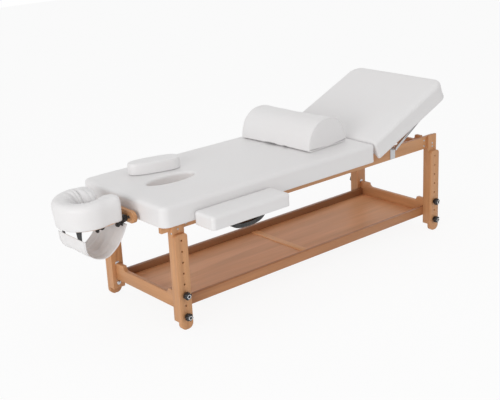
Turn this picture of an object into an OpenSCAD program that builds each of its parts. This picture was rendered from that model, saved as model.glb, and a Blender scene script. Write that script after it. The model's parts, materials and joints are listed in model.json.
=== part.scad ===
// Massage table with a raised back section, head cradle, hanging arm rest, side armrest and bolster.
// X runs from the head end to the back section, Y across the table, Z up from the floor.

/* [Table top] */
// Length of the main cushion, from the head end to the fold
main_len = 1422; // [1300:1:1600]
// Length of the back section's cushion
back_len = 641; // [600:1:700]
// Width of both cushions
top_w = 700; // [680:1:760]
// Height of the lying surface above the floor
top_z = 657; // [640:1:720]
// Height of the cushions from their lower hem to the lying surface
pad_h = 106; // [96:1:120]
// Thickness of the foam over the decks
foam_t = 56; // [50:1:60]
// Thickness of the plywood decks
deck_t = 15; // [12:1:18]
// Thickness of the padded cover beside the decks
skirt_t = 8; // [6:1:10]
// Radius of the cushions' top edges
edge_r = 17; // [14:1:18]
// Plan radius of the free corners of the cushions
corner_r = 72; // [40:1:90]
// Plan radius of the corners at the fold
fold_r = 14; // [11:1:20]
// Rise of the crowned surface over the edges
crown_rise = 3; // [1:0.5:6]

/* [Back section] */
// Angle of the back section above the flat position
back_angle = 23.3; // [15:0.1:28]
// How much further the back section rises
back_more = 19; // [10:0.1:19]
// Gap between the two cushions at the fold
fold_gap = 8; // [7:0.5:10]
// Depth of the fold axis under the lying surface
fold_drop = 19; // [18:0.5:22]
// Length of a prop between its pivot and its tip
prop_len = 380; // [360:1:390]
// Width of a prop
prop_w = 15; // [12:1:16]

/* [Frame] */
// Place of the head posts from the head end of the cushion
post_x = 77; // [60:1:120]
// Place of the foot posts from the head end of the cushion
foot_post_x = 1932; // [1900:1:1940]
// Width of a post along the table
post_w = 70; // [64:1:80]
// Distance from the cushions' sides in to the posts' outer faces
frame_in = 47; // [46:1:52]
// Thickness of the side beams
beam_t = 22; // [18:1:24]
// Height of the side beams
beam_h = 71; // [60:1:80]
// Thickness of a post's lap outside the beam
lap_t = 14; // [12:1:18]
// Thickness of the bearers between beam and deck
bearer_t = 8; // [8:0.5:12]
// Height of the posts' lower ends above the floor
post_low = 40; // [30:1:60]
// Thickness of the crossbars
bar_t = 22; // [18:1:26]

/* [Height adjustment] */
// Thickness of a leg board
leg_t = 22; // [18:1:24]
// Height of a leg board
leg_h = 493; // [485:1:496]
// Height of the lowest hole in a leg board
hole_low = 68; // [64:1:80]
// Distance between two holes in a leg board
hole_pitch = 56; // [50:1:57]
// Diameter of the clamping bolts
bolt_d = 10; // [8:1:11]
// Diameter of a knob
knob_d = 40; // [36:1:46]
// Thickness of a knob
knob_t = 27; // [22:1:30]

/* [Shelf] */
// Height of the shelf rails' lower edge
shelf_z = 89; // [80:1:100]
// Height of the shelf rails
rail_h = 50; // [40:1:60]
// Thickness of the shelf rails
rail_t = 22; // [18:1:26]
// Thickness of the shelf panels
panel_t = 5; // [4:1:8]

/* [Face opening] */
// Length of the face opening
hole_len = 285; // [240:1:300]
// Width of the face opening
hole_w = 118; // [100:1:140]
// Distance of the face opening's centre from the head end
hole_x = 308; // [290:1:340]
// Length of the plug
plug_len = 275; // [220:1:280]
// Width of the plug
plug_w = 106; // [90:1:115]
// Thickness of the plug
plug_h = 60; // [40:1:70]

/* [Bolster] */
// Length of the bolster across the table
bolster_len = 510; // [400:1:560]
// Width of the bolster's flat face
bolster_w = 300; // [240:1:300]
// Height of the bolster
bolster_h = 160; // [120:1:180]

/* [Armrest] */
// Length of the armrest pad
arm_len = 486; // [460:1:560]
// Width of the armrest pad
arm_w = 148; // [130:1:170]
// Thickness of the armrest pad
arm_h = 69; // [66:1:76]
// Diameter of the armrest's pins
arm_pin_d = 12; // [10:1:14]
// Distance between the armrest's pins
arm_pin_gap = 300; // [260:1:340]

/* [Head cradle] */
// Length of the cradle board
board_len = 330; // [320:1:380]
// Height of the cradle board
board_h = 58; // [52:1:60]
// Thickness of the cradle board
board_t = 20; // [16:1:20]
// Distance between the cradle dowels
dowel_gap = 250; // [240:1:270]
// Diameter of the cradle dowels
dowel_d = 16; // [12:1:18]
// Length of the face cushion along the table
face_len = 272; // [262:1:290]
// Width of the face cushion
face_w = 300; // [290:1:320]
// Height of the face cushion
face_h = 108; // [90:1:112]
// Width of the face cushion's roll
roll_w = 100; // [90:1:105]
// Tilt of the cradle platform, its table side higher
cradle_tilt = 3.5; // [0:0.5:4]
// Width of the hanging arm rest
sling_w = 242; // [200:1:250]
// Depth of the hanging arm rest under its edges
sling_h = 124; // [90:1:140]

/* [Hidden] */
$fn = 48;

wood_color = "burlywood";
vinyl_color = "whitesmoke";
steel_color = "silver";
black_color = "black";
shelf_color = "peru";

// Clearances shared by the whole table
over = 2; // how far cuts run past a face
run_gap = 0.05; // radial play of a pin that turns or slides in its hole
soft_gap = 0.3; // play beside soft and moving pieces
slip_gap = 1; // radial play round bolts and pins in soft covers
joint_gap = 0.2; // gap between boards that meet end to end
least_r = 2; // least corner radius of an outline
edge_steps = 4; // steps of a rounded edge
cover_sides = 12; // sides of the slits that pins pass through in a cover

// Heights of the top
deck_z = top_z - foam_t - deck_t;
hem_z = top_z - pad_h;
fold_x = main_len + fold_gap / 2;
fold_z = top_z - fold_drop;
crown_run = 48; // how far in from the edge the crown rises
crown_share = 0.6; // share of the rise at a third of that run
rim_t = 16;
rim_h = 30;
rim_z = deck_z - rim_h;
inner_r = corner_r - skirt_t;
deck_len = main_len - 2 * skirt_t;
deck_w = top_w - 2 * skirt_t;
back_deck_len = back_len - 2 * skirt_t;
lining_t = 5; // cover that lines the face opening
fold_hem = 4; // how far the covers reach under the decks at the fold, over the beams
hole_y = 4;

// Frame
beam_top = deck_z - bearer_t;
beam_z = beam_top - beam_h;
post_out = top_w / 2 - frame_in;
beam_out = post_out - lap_t;
post_in = beam_out - beam_t;
post_over = 7; // how far the posts stand over the beams
beam_x = 26;
beam_end = foot_post_x + post_w;
post_mid_x = post_x + post_w / 2;
foot_mid_x = foot_post_x + post_w / 2;
post_mids = [post_mid_x, foot_mid_x];
bar_low = 92;
bar_mid_h = 66; // height of a lower crossbar in its middle
bar_end_h = 90; // height of a lower crossbar at its ends
bar_end_run = 70; // length of a crossbar's raised end
bar_curve_r = 24;
upper_bar_gap = 11; // between the upper crossbars and the posts
upper_mid_h = 49;
upper_end_run = 40;

// Screws of the frame
post_screw_r = 3;
post_screw_shares = [0.1, 0.38]; // heights of the posts' screws as shares of the beam's height
post_screw_zs = [for (k = post_screw_shares) beam_z + k * beam_h];
bar_screw_shares = [0.25, 0.72]; // heights of the upper crossbars' screws as shares of the beam's height
screw_r = 5.5;
screw_t = 1.8;
upper_bar_head_x = post_x + post_w + upper_bar_gap;
upper_bar_foot_x = foot_post_x - upper_bar_gap - bar_t;

// Leg boards and their clamps
hole_top = 30; // least distance from the uppermost hole to a board's end
hole_count = 1 + floor((leg_h - hole_low - hole_top) / hole_pitch);
low_bolt_z = hole_low;
holes_between = 2; // pitches between a board's two clamping bolts
high_bolt_z = hole_low + holes_between * hole_pitch;
hole_play = 1;
leg_hole_d = bolt_d + hole_play;
leg_round = 14;
leg_chamfer = 14;
head_d = 24;
head_t = 5;
dome_r = (head_d * head_d / 4 + head_t * head_t) / (2 * head_t);
lobe_count = 6;
lobe_share = 0.3; // radius of a knob's lobes as a share of its radius
insert_d = 16;
insert_t = 2.5;
knob_neck_t = 6;
knob_web = 2; // how far a knob's body reaches between its lobes

// Shelf
groove_depth = 5;
panel_z = shelf_z + panel_t;
batten_w = 42;
rail_x0 = post_mid_x + bar_t / 2;
rail_x1 = foot_mid_x - bar_t / 2;
panel_joint_x = (rail_x0 + rail_x1) / 2;

// Back hinges and props, measured from the fold axis
knuckle_r = 3;
hinge_pin_r = 1.5;
leaf_t = 2;
leaf_w = 50;
leaf_run = 60;
leaf_in = 67; // middle of a leaf inside the beams
leaf_y = post_in - leaf_in;
leaf_gap = 1.5;
leaf_clear = 2; // between a leaf's strip and the other leaf's knuckles
knuckle_len = (leaf_w - 2 * soft_gap) / 3;
prop_x = 209; // pivot of the props behind the fold axis
prop_drop = 65; // pivot of the props under the fold axis
tip_drop = 84; // depth of the seated tip under the fold axis, in the back section
prop_ratio = 1.53; // turn of a prop for each degree of the back section
prop_t = 11;
prop_gap = 3; // between the posts and the props
prop_y = post_out + prop_gap;
stud_r = 4;
stud_head_r = 7;
stud_head_t = 2.5;
bracket_w = 40;
bracket_t = 3;
boss_r = 11;
ring_at = 72;
channel_wall = 1.5;
channel_play = 1;
channel_depth = 34;
stop_r = 3;
stop_gap = 0.8; // play between a prop's tip and the stop pins that it passes under
stop_shares = [0, 0.33, 0.64, 0.93]; // places of the stops as shares of the further rise
stop_angles = [for (k = stop_shares) back_angle + k * back_more];

// Face opening and loose pads
plug_off = [17, 166]; // middle of the plug from the middle of the opening
plug_turn = -14;
bolster_back = 237; // the bolster's middle from the end of the main cushion, at the fold
bolster_y = 47;
bolster_turn = 4;

// Armrest
arm_x = 172;
arm_gap = 2; // between the armrest and the main cushion
arm_corner_r = 31;
arm_mid_x = arm_x + arm_len / 2;
arm_pin_xs = [arm_mid_x - arm_pin_gap / 2, arm_mid_x + arm_pin_gap / 2];
pin_notch_play = 2; // play round a pin in its notch of the cover's side band
pin_notch_r = arm_pin_d / 2 + pin_notch_play;
arm_panel_t = 12;
arm_cover_t = 2;
arm_batten_t = 30;
arm_batten_h = 38;
arm_wall = 8;
socket_z = deck_z - rim_h / 2;
arm_drop = 37; // underside of the armrest below its pins
arm_z = socket_z - arm_drop;
block_len = 50;
block_depth = 28;
bow_w = 192;
bow_h = 48;
bow_t = 5;
bow_out = 78; // middle of the bow from the armrest's inner side
bow_y = top_w / 2 + arm_gap + bow_out;
bow_strip = 22;
foot_len = 18;
foot_t = 3;

// Head cradle
board_gap = 18;
board_x = -board_gap - board_t;
board_z = socket_z;
dowel_in = 90; // length of a dowel inside the socket block
pivot_out = 20; // rod of the cradle in front of its board
pivot_drop = 5; // and below the board's middle
pivot_x = board_x - pivot_out;
pivot_z = board_z - pivot_drop;
pivot_r = 5;
arm_end_r = 9;
lug_y = 54;
lug_t = 6;
lug_r = 10;
cradle_arm_t = 5;
cap_r = 18;
cap_t = 12;
cap_y = 100;
lever_len = 42;
lever_w = 13;
small_lever_len = 29;
small_lever_w = 10;
lever_in = 1.5; // a handle is that much thinner than its hub on each side
lever_drop = 12; // lever handles lower than the cradle arms, in degrees
platform_out = 145; // middle of the platform in front of the rod
platform_rise = 9; // and above it
platform_x = pivot_x - platform_out;
platform_z = pivot_z + platform_rise;
platform_t = 12;
hanger_in = 43; // the platform's own pivot behind its middle
hanger_drop = 35; // and below its top face
platform_pivot_x = platform_x + hanger_in;
platform_pivot_z = platform_z - hanger_drop;
small_pivot_r = 4;
small_cap_r = 13;
platform_in = 9; // platform edge inside the cushion's outline
platform_end_in = 22; // and at its table side, clear of the round clamps
platform_hole_r = 46;
notch_half = 71;
notch_run = 34;
bolt_cap_r = 8;
bolt_cap_t = 3;

// Hanging arm rest
sling_out = 83; // front edge of the arm rest in front of the platform's middle
sling_front_drop = 66; // front edge below the platform's top face
sling_rear_gap = 4; // rear edge in front of the rod
sling_rear_drop = 36; // and below it
sling_front_x = platform_x - sling_out;
sling_rear_x = pivot_x - sling_rear_gap;
sling_front_z = platform_z - sling_front_drop;
sling_rear_z = pivot_z - sling_rear_drop;
sling_t = 2.4;
sling_power = 0.84; // fullness of the sling's curve
strap_t = 2;
strap_w = 32;
strap_y = 82;
loop_y = 85;
loop_w = 24;
strap_flange = 20;

// The frame of the whole table: middle of the floor area that it covers
face_front = platform_x - face_len / 2 - (face_h / 2) * sin(cradle_tilt);
back_reach = fold_x + (fold_gap / 2 + back_len) * cos(back_angle) + (pad_h - fold_drop) * sin(back_angle);
knob_out = post_out + leg_t + soft_gap + knob_t + insert_t;
arm_out = top_w / 2 + arm_gap + arm_w;
mid_x = (face_front + back_reach) / 2;
mid_y = (max(knob_out, top_w / 2) - arm_out) / 2;

module in_row() { translate([-mid_x, -mid_y, 0]) children(); }

// Mirrors a near piece to the far side
module on_side(far) { mirror([0, far ? 1 : 0, 0]) children(); }

// Back section's own frame: X along it from the fold axis, Z square to it
module in_back() { translate([fold_x, 0, fold_z]) rotate([0, -back_angle, 0]) children(); }

// Platform's own frame: origin in the middle of its top face
module in_platform() {
    translate([platform_x, 0, platform_z]) rotate([0, -cradle_tilt, 0]) children();
}

// Cylinder along Y from y0 to y1
module rod_y(r, x, z, y0, y1, sides = $fn) {
    translate([x, y0, z]) rotate([-90, 0, 0]) cylinder(r = r, h = y1 - y0, $fn = sides);
}

// Cylinder along X from x0 to x1
module rod_x(r, y, z, x0, x1, sides = $fn) {
    translate([x0, y, z]) rotate([0, 90, 0]) cylinder(r = r, h = x1 - x0, $fn = sides);
}

// Box between two corners
module block(a, b) { translate(a) cube(b - a); }

// Bar in the XZ plane between two points, with round ends, from y0 to y1
module link_y(a, b, r, y0, y1) {
    d = b - a;
    translate([a[0], y0, a[1]]) rotate([0, -atan2(d[1], d[0]), 0]) {
        translate([0, 0, -r]) cube([norm(d), y1 - y0, 2 * r]);
        rod_y(r, 0, 0, 0, y1 - y0);
        rod_y(r, norm(d), 0, 0, y1 - y0);
    }
}

// Plan outline from x0 to x1 with corner radii ra at x0 and rb at x1
module plan(x0, x1, w, ra, rb) {
    intersection() {
        translate([x0, -w / 2]) square([x1 - x0, w]);
        union() {
            translate([x0 + ra, -w / 2]) square([x1 - x0 - ra - rb, w]);
            translate([x0, -w / 2 + ra]) square([ra, w - 2 * ra]);
            translate([x1 - rb, -w / 2 + rb]) square([rb, w - 2 * rb]);
            for (s = [-1, 1]) {
                translate([x0 + ra, s * (w / 2 - ra)]) circle(r = ra);
                translate([x1 - rb, s * (w / 2 - rb)]) circle(r = rb);
            }
        }
    }
}

// Points of the same outline, moved in by d, at height z
corner_steps = 5;
function arc_points(cx, cy, r, a0, z) =
    [for (i = [0:corner_steps]) let (a = a0 + 90 * i / corner_steps) [cx + r * cos(a), cy + r * sin(a), z]];
function plan_ring(x0, x1, w, ra, rb, d, z) =
    let (qa = max(ra - d, least_r), qb = max(rb - d, least_r), h = w / 2 - d, xa = x0 + d, xb = x1 - d)
    concat(
        arc_points(xb - qb, h - qb, qb, 0, z), arc_points(xa + qa, h - qa, qa, 90, z),
        arc_points(xa + qa, qa - h, qa, 180, z), arc_points(xb - qb, qb - h, qb, 270, z));

function middle(ring) = [for (k = [0:2]) let (v = [for (p = ring) p[k]]) (min(v) + max(v)) / 2];

// Closed solid through a stack of rings, counter-clockwise seen from the last ring
module loft(rings) {
    n = len(rings[0]);
    m = len(rings);
    points = concat([for (r = rings) each r], [middle(rings[0]), middle(rings[m - 1])]);
    walls = [for (j = [0:m - 2]) for (i = [0:n - 1])
        let (a = j * n + i, b = j * n + (i + 1) % n) each [[a, a + n, b + n], [a, b + n, b]]];
    first = [for (i = [0:n - 1]) [m * n, i, (i + 1) % n]];
    last = [for (i = [0:n - 1]) let (k = (m - 1) * n) [m * n + 1, k + (i + 1) % n, k + i]];
    polyhedron(points, concat(walls, first, last), convexity = 6);
}

// Upholstered slab: full lower hem, sides drawn in under the edge, round top edge and crown
function slab_rings(x0, x1, w, ra, rb, z0, z1, r, rise, run) =
    let (zt = z1 - rise)
    concat(
        [plan_ring(x0, x1, w, ra, rb, 0, z0)],
        [plan_ring(x0, x1, w, ra, rb, rise / 2, (z0 + zt - r) / 2)],
        [for (i = [0:edge_steps]) let (a = 90 * i / edge_steps)
            plan_ring(x0, x1, w, ra, rb, r * (1 - cos(a)), zt - r + r * sin(a))],
        [plan_ring(x0, x1, w, ra, rb, r + (run - r) / 3, zt + rise * crown_share)],
        [plan_ring(x0, x1, w, ra, rb, run, z1)]);

// Frame

// Post at x with its lap outside the beam
module post(x, far) {
    top = beam_top + post_over;
    mid = x + post_w / 2;
    color(wood_color) in_row() on_side(far) difference() {
        union() {
            block([x, -post_out, post_low], [x + post_w, -post_in, beam_z]);
            block([x, -post_out, beam_z], [x + post_w, -beam_out, top]);
        }
        for (z = [low_bolt_z, high_bolt_z])
            rod_y(bolt_d / 2, mid, z, -post_out - over, -post_in + over);
        for (z = post_screw_zs) rod_y(post_screw_r, mid, z, -post_out - over, -beam_out + over);
    }
}

module side_beam(far) {
    color(wood_color) in_row() on_side(far)
        block([beam_x, -beam_out, beam_z], [beam_end, -post_in, beam_top]);
}

// Outline of a crossbar across the table: straight base, raised ends with a concave sweep
module bar_outline(half, mid_h, end_h, end_run) {
    rise = end_h - mid_h;
    difference() {
        translate([-half, 0]) square([2 * half, end_h]);
        for (s = [-1, 1]) {
            translate([s * (half - end_run - bar_curve_r), mid_h + bar_curve_r]) circle(r = bar_curve_r);
        }
        translate([-(half - end_run - bar_curve_r), mid_h])
            square([2 * (half - end_run - bar_curve_r), rise + over]);
        for (s = [-1, 1])
            translate([s * (half - end_run - bar_curve_r) - bar_curve_r, mid_h + bar_curve_r])
                square([2 * bar_curve_r, max(rise + over - bar_curve_r, over)]);
    }
}

module crossbar(x, z, half, mid_h, end_h, end_run) {
    translate([x, 0, z]) rotate([90, 0, 90]) linear_extrude(bar_t)
        bar_outline(half, mid_h, end_h, end_run);
}

// Lower crossbar, its ends recessed round the heads of the clamping bolts
module lower_crossbar(x) {
    r = head_d / 2 + slip_gap;
    color(wood_color) in_row() difference() {
        crossbar(x, bar_low, post_in, bar_mid_h, bar_end_h, bar_end_run);
        for (far = [false, true]) on_side(far) for (z = [low_bolt_z, high_bolt_z])
            rod_y(r, x + bar_t / 2, z, -post_in - over, -post_in + head_t + slip_gap);
    }
}

module upper_crossbar(x) {
    color(wood_color) in_row()
        crossbar(x, beam_z, post_in, upper_mid_h, beam_h + post_over, upper_end_run);
}

// Shelf
module shelf_rail(far) {
    color(wood_color) in_row() on_side(far) difference() {
        block([rail_x0, -post_in, shelf_z], [rail_x1, -post_in + rail_t, shelf_z + rail_h]);
        block([rail_x0 - over, -post_in + rail_t - groove_depth, panel_z],
            [rail_x1 + over, -post_in + rail_t + over, panel_z + panel_t]);
    }
}

module shelf_panels() {
    half = post_in - rail_t + groove_depth - joint_gap;
    color(shelf_color) in_row() {
        block([rail_x0, -half, panel_z], [panel_joint_x - joint_gap, half, panel_z + panel_t]);
        block([panel_joint_x + joint_gap, -half, panel_z], [rail_x1, half, panel_z + panel_t]);
    }
}

module shelf_batten() {
    half = post_in - rail_t;
    color(wood_color) in_row()
        block([panel_joint_x - batten_w / 2, -half, panel_z + panel_t],
            [panel_joint_x + batten_w / 2, half, panel_z + 2 * panel_t]);
}

// Table top
module deck_bearers() {
    color(wood_color) in_row() for (far = [false, true]) on_side(far)
        block([beam_x, -beam_out, beam_top], [main_len - 2 * skirt_t, -post_in, deck_z]);
}

// Oval of the face opening, widened by grow
oval_steps = 40;
module face_oval(grow) {
    translate([hole_x, hole_y]) polygon([for (i = [0:oval_steps - 1]) let (a = 360 * i / oval_steps)
        [(hole_len / 2 + grow) * cos(a), (hole_w / 2 + grow) * sin(a)]]);
}

module main_deck() {
    color(wood_color) in_row() translate([0, 0, deck_z]) linear_extrude(deck_t) difference() {
        plan(skirt_t, main_len - skirt_t, deck_w, inner_r, fold_r - skirt_t);
        face_oval(lining_t + soft_gap);
    }
}

// Holes in the rims and covers: armrest pins on both long sides, cradle dowels at the head
module top_bores(pin_r, dowel_r, depth, sides) {
    for (far = [false, true]) on_side(far) for (x = arm_pin_xs)
        rod_y(pin_r, x, socket_z, -top_w / 2 - over, -top_w / 2 + depth + over, sides);
    for (s = [-1, 1]) rod_x(dowel_r, s * dowel_gap / 2, socket_z, -over, depth + over, sides);
}

// Rim under a deck: a bar across its free end and a batten along each side
module main_rim() {
    color(wood_color) in_row() difference() {
        translate([0, 0, rim_z]) linear_extrude(rim_h) difference() {
            plan(skirt_t, main_len - skirt_t, deck_w, inner_r, fold_r - skirt_t);
            plan(skirt_t + rim_t, main_len, deck_w - 2 * rim_t, inner_r - 2 * rim_t, least_r);
            translate([skirt_t + inner_r, -top_w / 2]) square([joint_gap, top_w]);
        }
        top_bores(arm_pin_d / 2 + run_gap, dowel_d / 2 + run_gap, skirt_t + rim_t, $fn);
    }
}

// The cover's bands round a deck and its rim, parted from the block above them and at the corners
module band_joints(x0, x1) {
    translate([0, 0, deck_z + deck_t - joint_gap]) linear_extrude(joint_gap) difference() {
        translate([-over, -top_w / 2 - over]) square([main_len + 2 * over, top_w + 2 * over]);
        plan(skirt_t, main_len - skirt_t, deck_w, inner_r, fold_r - skirt_t);
    }
    for (x = [x0, x1]) translate([x, -top_w / 2 - over, hem_z - over])
        cube([joint_gap, top_w + 2 * over, deck_z + deck_t + over - hem_z]);
}

module main_cushion() {
    rim_in = top_w / 2 - skirt_t - rim_t;
    color(vinyl_color) in_row() difference() {
        loft(slab_rings(0, main_len, top_w, corner_r, fold_r, hem_z, top_z, edge_r, crown_rise, crown_run));
        difference() {
            translate([0, 0, hem_z - over]) linear_extrude(pad_h - foam_t + over)
                plan(skirt_t, main_len - skirt_t, deck_w, inner_r, fold_r - skirt_t);
            translate([0, 0, deck_z]) linear_extrude(deck_t + over) face_oval(lining_t);
        }
        translate([0, 0, hem_z]) linear_extrude(pad_h + over) face_oval(0);
        top_bores(arm_pin_d / 2 + slip_gap, dowel_d / 2 + slip_gap, skirt_t, cover_sides);
        for (s = [-1, 1])
            block([main_len - skirt_t - over, s * leaf_y - leaf_w / 2 - slip_gap, hem_z - over],
                [main_len + over, s * leaf_y + leaf_w / 2 + slip_gap, deck_z + leaf_t]);
        block([main_len - skirt_t - over, -rim_in, hem_z - over], [main_len + over, rim_in, deck_z - fold_hem]);
        band_joints(corner_r, main_len - fold_r);
        for (x = arm_pin_xs)
            block([x - pin_notch_r, -top_w / 2 - over, hem_z - over],
                [x + pin_notch_r, top_w / 2 + over, deck_z + deck_t - joint_gap / 2]);
    }
}

module socket_blocks() {
    inner = skirt_t + rim_t;
    color(wood_color) in_row() difference() {
        union() {
            for (far = [false, true]) on_side(far) for (x = arm_pin_xs)
                block([x - block_len / 2, -top_w / 2 + inner, rim_z],
                    [x + block_len / 2, -top_w / 2 + inner + block_depth, deck_z]);
            for (s = [-1, 1])
                block([inner, s * dowel_gap / 2 - block_len / 2, rim_z],
                    [inner + dowel_in, s * dowel_gap / 2 + block_len / 2, deck_z]);
        }
        for (far = [false, true]) on_side(far) for (x = arm_pin_xs)
            rod_y(arm_pin_d / 2 + run_gap, x, socket_z, -top_w / 2, -top_w / 2 + inner + block_depth + over);
        for (s = [-1, 1])
            rod_x(dowel_d / 2 + run_gap, s * dowel_gap / 2, socket_z, 0, inner + dowel_in + over);
    }
}

// Clamps of the leg boards. A bolt's stretch inside its board is left out, so that the board can slide

module leg_bolts() {
    color(steel_color) in_row() for (far = [false, true]) on_side(far)
        for (x = post_mids) for (z = [low_bolt_z, high_bolt_z]) {
            rod_y(bolt_d / 2, x, z, -post_out, -post_in);
            translate([x, -post_in, z]) rotate([-90, 0, 0]) rotate_extrude() intersection() {
                translate([0, head_t - dome_r]) circle(r = dome_r);
                square([head_d / 2, head_t]);
            }
        }
}
module frame_screws() {
    color(steel_color) in_row() for (far = [false, true]) on_side(far) {
        for (x = [upper_bar_head_x + bar_t / 2, upper_bar_foot_x + bar_t / 2]) for (k = bar_screw_shares)
            rod_y(screw_r, x, beam_z + k * beam_h, -beam_out - screw_t, -beam_out);
        rod_x(screw_r, -(beam_out + post_out) / 2, beam_z - 2 * screw_r, post_x - screw_t, post_x);
        for (x = post_mids) for (z = post_screw_zs)
            rod_y(post_screw_r, x, z, -post_out + screw_t, -beam_out);
    }
}

// Leg board: upper corners round, lower corners chamfered, a row of holes
module leg_board(x, far) {
    color(wood_color) in_row() on_side(far) difference() {
        translate([x, -post_out, 0]) rotate([90, 0, 0]) linear_extrude(leg_t) union() {
            polygon([[leg_chamfer, 0], [post_w - leg_chamfer, 0], [post_w, leg_chamfer],
                [post_w, leg_h - leg_round], [0, leg_h - leg_round], [0, leg_chamfer]]);
            translate([leg_round, leg_h - leg_round - over])
                square([post_w - 2 * leg_round, leg_round + over]);
            for (cx = [leg_round, post_w - leg_round])
                translate([cx, leg_h - leg_round]) circle(r = leg_round);
        }
        for (i = [0:hole_count - 1])
            rod_y(leg_hole_d / 2, x + post_w / 2, hole_low + i * hole_pitch,
                -post_out - leg_t - over, -post_out + over);
    }
}

module knob(x, z, far) {
    face = post_out + leg_t + soft_gap;
    core = knob_d / 2 * (1 - lobe_share);
    color(black_color) in_row() on_side(far) {
        rod_y(core, x, z, -face - knob_neck_t, -face);
        translate([x, -face - knob_neck_t, z]) rotate([90, 0, 0]) linear_extrude(knob_t - knob_neck_t)
            union() {
                circle(r = core + knob_web);
                for (i = [0:lobe_count - 1]) rotate(360 * i / lobe_count)
                    translate([core, 0]) circle(r = knob_d / 2 * lobe_share);
            }
        translate([x, -face - knob_t, z]) rotate([90, 0, 0])
            cylinder(d = insert_d, h = insert_t, $fn = 6);
    }
}

// Back hinges. A leaf has an upright strip beside the fold axis and a foot under its deck
module leaf(knuckle_ys) {
    drop = top_z - deck_z - fold_drop;
    difference() {
        union() {
            for (s = [-1, 1]) {
                block([leaf_gap, s * leaf_y - leaf_w / 2, -drop - leaf_t],
                    [leaf_gap + leaf_t, s * leaf_y + leaf_w / 2, -knuckle_r - leaf_clear]);
                block([leaf_gap, s * leaf_y - leaf_w / 2, -drop - leaf_t],
                    [leaf_run, s * leaf_y + leaf_w / 2, -drop]);
                for (k = knuckle_ys) {
                    rod_y(knuckle_r, 0, 0, s * leaf_y + k, s * leaf_y + k + knuckle_len);
                    block([leaf_gap, s * leaf_y + k, -knuckle_r - 2 * leaf_clear],
                        [leaf_gap + leaf_t, s * leaf_y + k + knuckle_len, 0]);
                }
            }
        }
        for (s = [-1, 1])
            rod_y(hinge_pin_r + run_gap, 0, 0, s * leaf_y - leaf_w / 2 - over,
                s * leaf_y + leaf_w / 2 + over);
    }
}
module back_hinge_main_leaves() {
    color(steel_color) in_row() translate([fold_x, 0, fold_z]) mirror([1, 0, 0])
        leaf([-leaf_w / 2, leaf_w / 2 - knuckle_len]);
}

module back_hinge_panel_leaves() {
    color(steel_color) in_row() in_back() leaf([-knuckle_len / 2]);
}

module back_hinge_pins() {
    color(steel_color) in_row() for (s = [-1, 1])
        rod_y(hinge_pin_r, fold_x, fold_z, s * leaf_y - leaf_w / 2, s * leaf_y + leaf_w / 2);
}

// Back section, in its own frame
back_x0 = fold_gap / 2;
back_x1 = back_x0 + back_len;
back_deck_z = fold_drop - foam_t - deck_t;

module back_plan() { plan(back_x0 + skirt_t, back_x1 - skirt_t, deck_w, fold_r - skirt_t, inner_r); }

module back_deck() {
    color(wood_color) in_row() in_back() translate([0, 0, back_deck_z])
        linear_extrude(deck_t) back_plan();
}

module back_rim() {
    color(wood_color) in_row() in_back() translate([0, 0, back_deck_z - rim_h])
        linear_extrude(rim_h) difference() {
            back_plan();
            plan(back_x0, back_x1 - skirt_t - rim_t, deck_w - 2 * rim_t, least_r, inner_r - 2 * rim_t);
            translate([back_x1 - skirt_t - inner_r, -top_w / 2]) square([joint_gap, top_w]);
        }
}

module back_cushion() {
    low = fold_drop - pad_h;
    rim_in = top_w / 2 - skirt_t - rim_t;
    color(vinyl_color) in_row() in_back() difference() {
        loft(slab_rings(back_x0, back_x1, top_w, fold_r, corner_r, low, fold_drop, edge_r, crown_rise,
            crown_run));
        translate([0, 0, low - over]) linear_extrude(pad_h - foam_t + over) back_plan();
        for (s = [-1, 1])
            block([back_x0 - over, s * leaf_y - leaf_w / 2 - slip_gap, low - over],
                [back_x0 + skirt_t + over, s * leaf_y + leaf_w / 2 + slip_gap, back_deck_z + leaf_t]);
        block([back_x0 - over, -rim_in, low - over], [back_x0 + skirt_t + over, rim_in, back_deck_z - fold_hem]);
    }
}

// Props: a prop turns on a stud outside the beam, its tip seats on a stop pin under the back deck
prop_rest = back_angle
    + asin((prop_x * sin(back_angle) + prop_drop * cos(back_angle) - tip_drop) / prop_len);
function prop_angle(a) = prop_rest + prop_ratio * (a - back_angle);

// Place of a prop's tip in the back section's frame at back angle a
function tip_at(a) =
    let (p = prop_angle(a), x = prop_x + prop_len * cos(p), z = -prop_drop + prop_len * sin(p))
    [x * cos(a) + z * sin(a), z * cos(a) - x * sin(a)];

module prop_brackets() {
    x = fold_x + prop_x;
    z = fold_z - prop_drop;
    color(steel_color) in_row() for (far = [false, true]) on_side(far) {
        block([x - bracket_w / 2, -beam_out - bracket_t, beam_z + bracket_t],
            [x + bracket_w / 2, -beam_out, beam_top - bracket_t]);
        rod_y(boss_r, x, z, -prop_y + soft_gap, -beam_out);
        rod_y(stud_r, x, z, -prop_y - prop_t - soft_gap - stud_head_t, -beam_out);
        rod_y(stud_head_r, x, z, -prop_y - prop_t - soft_gap - stud_head_t, -prop_y - prop_t - soft_gap);
    }
}

module prop(far) {
    groove = prop_w / 2;
    color(steel_color) in_row() on_side(far) translate([fold_x + prop_x, 0, fold_z - prop_drop])
        rotate([0, -prop_rest, 0]) difference() {
            link_y([0, 0], [prop_len, 0], prop_w / 2, -prop_y - prop_t, -prop_y);
            rod_y(stud_r + run_gap, 0, 0, -prop_y - prop_t - over, -prop_y + over);
            block([ring_at + prop_w, -prop_y - prop_t - over, -groove / 2],
                [prop_len - prop_w, -prop_y - prop_t + bracket_t, groove / 2]);
        }
}

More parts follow.
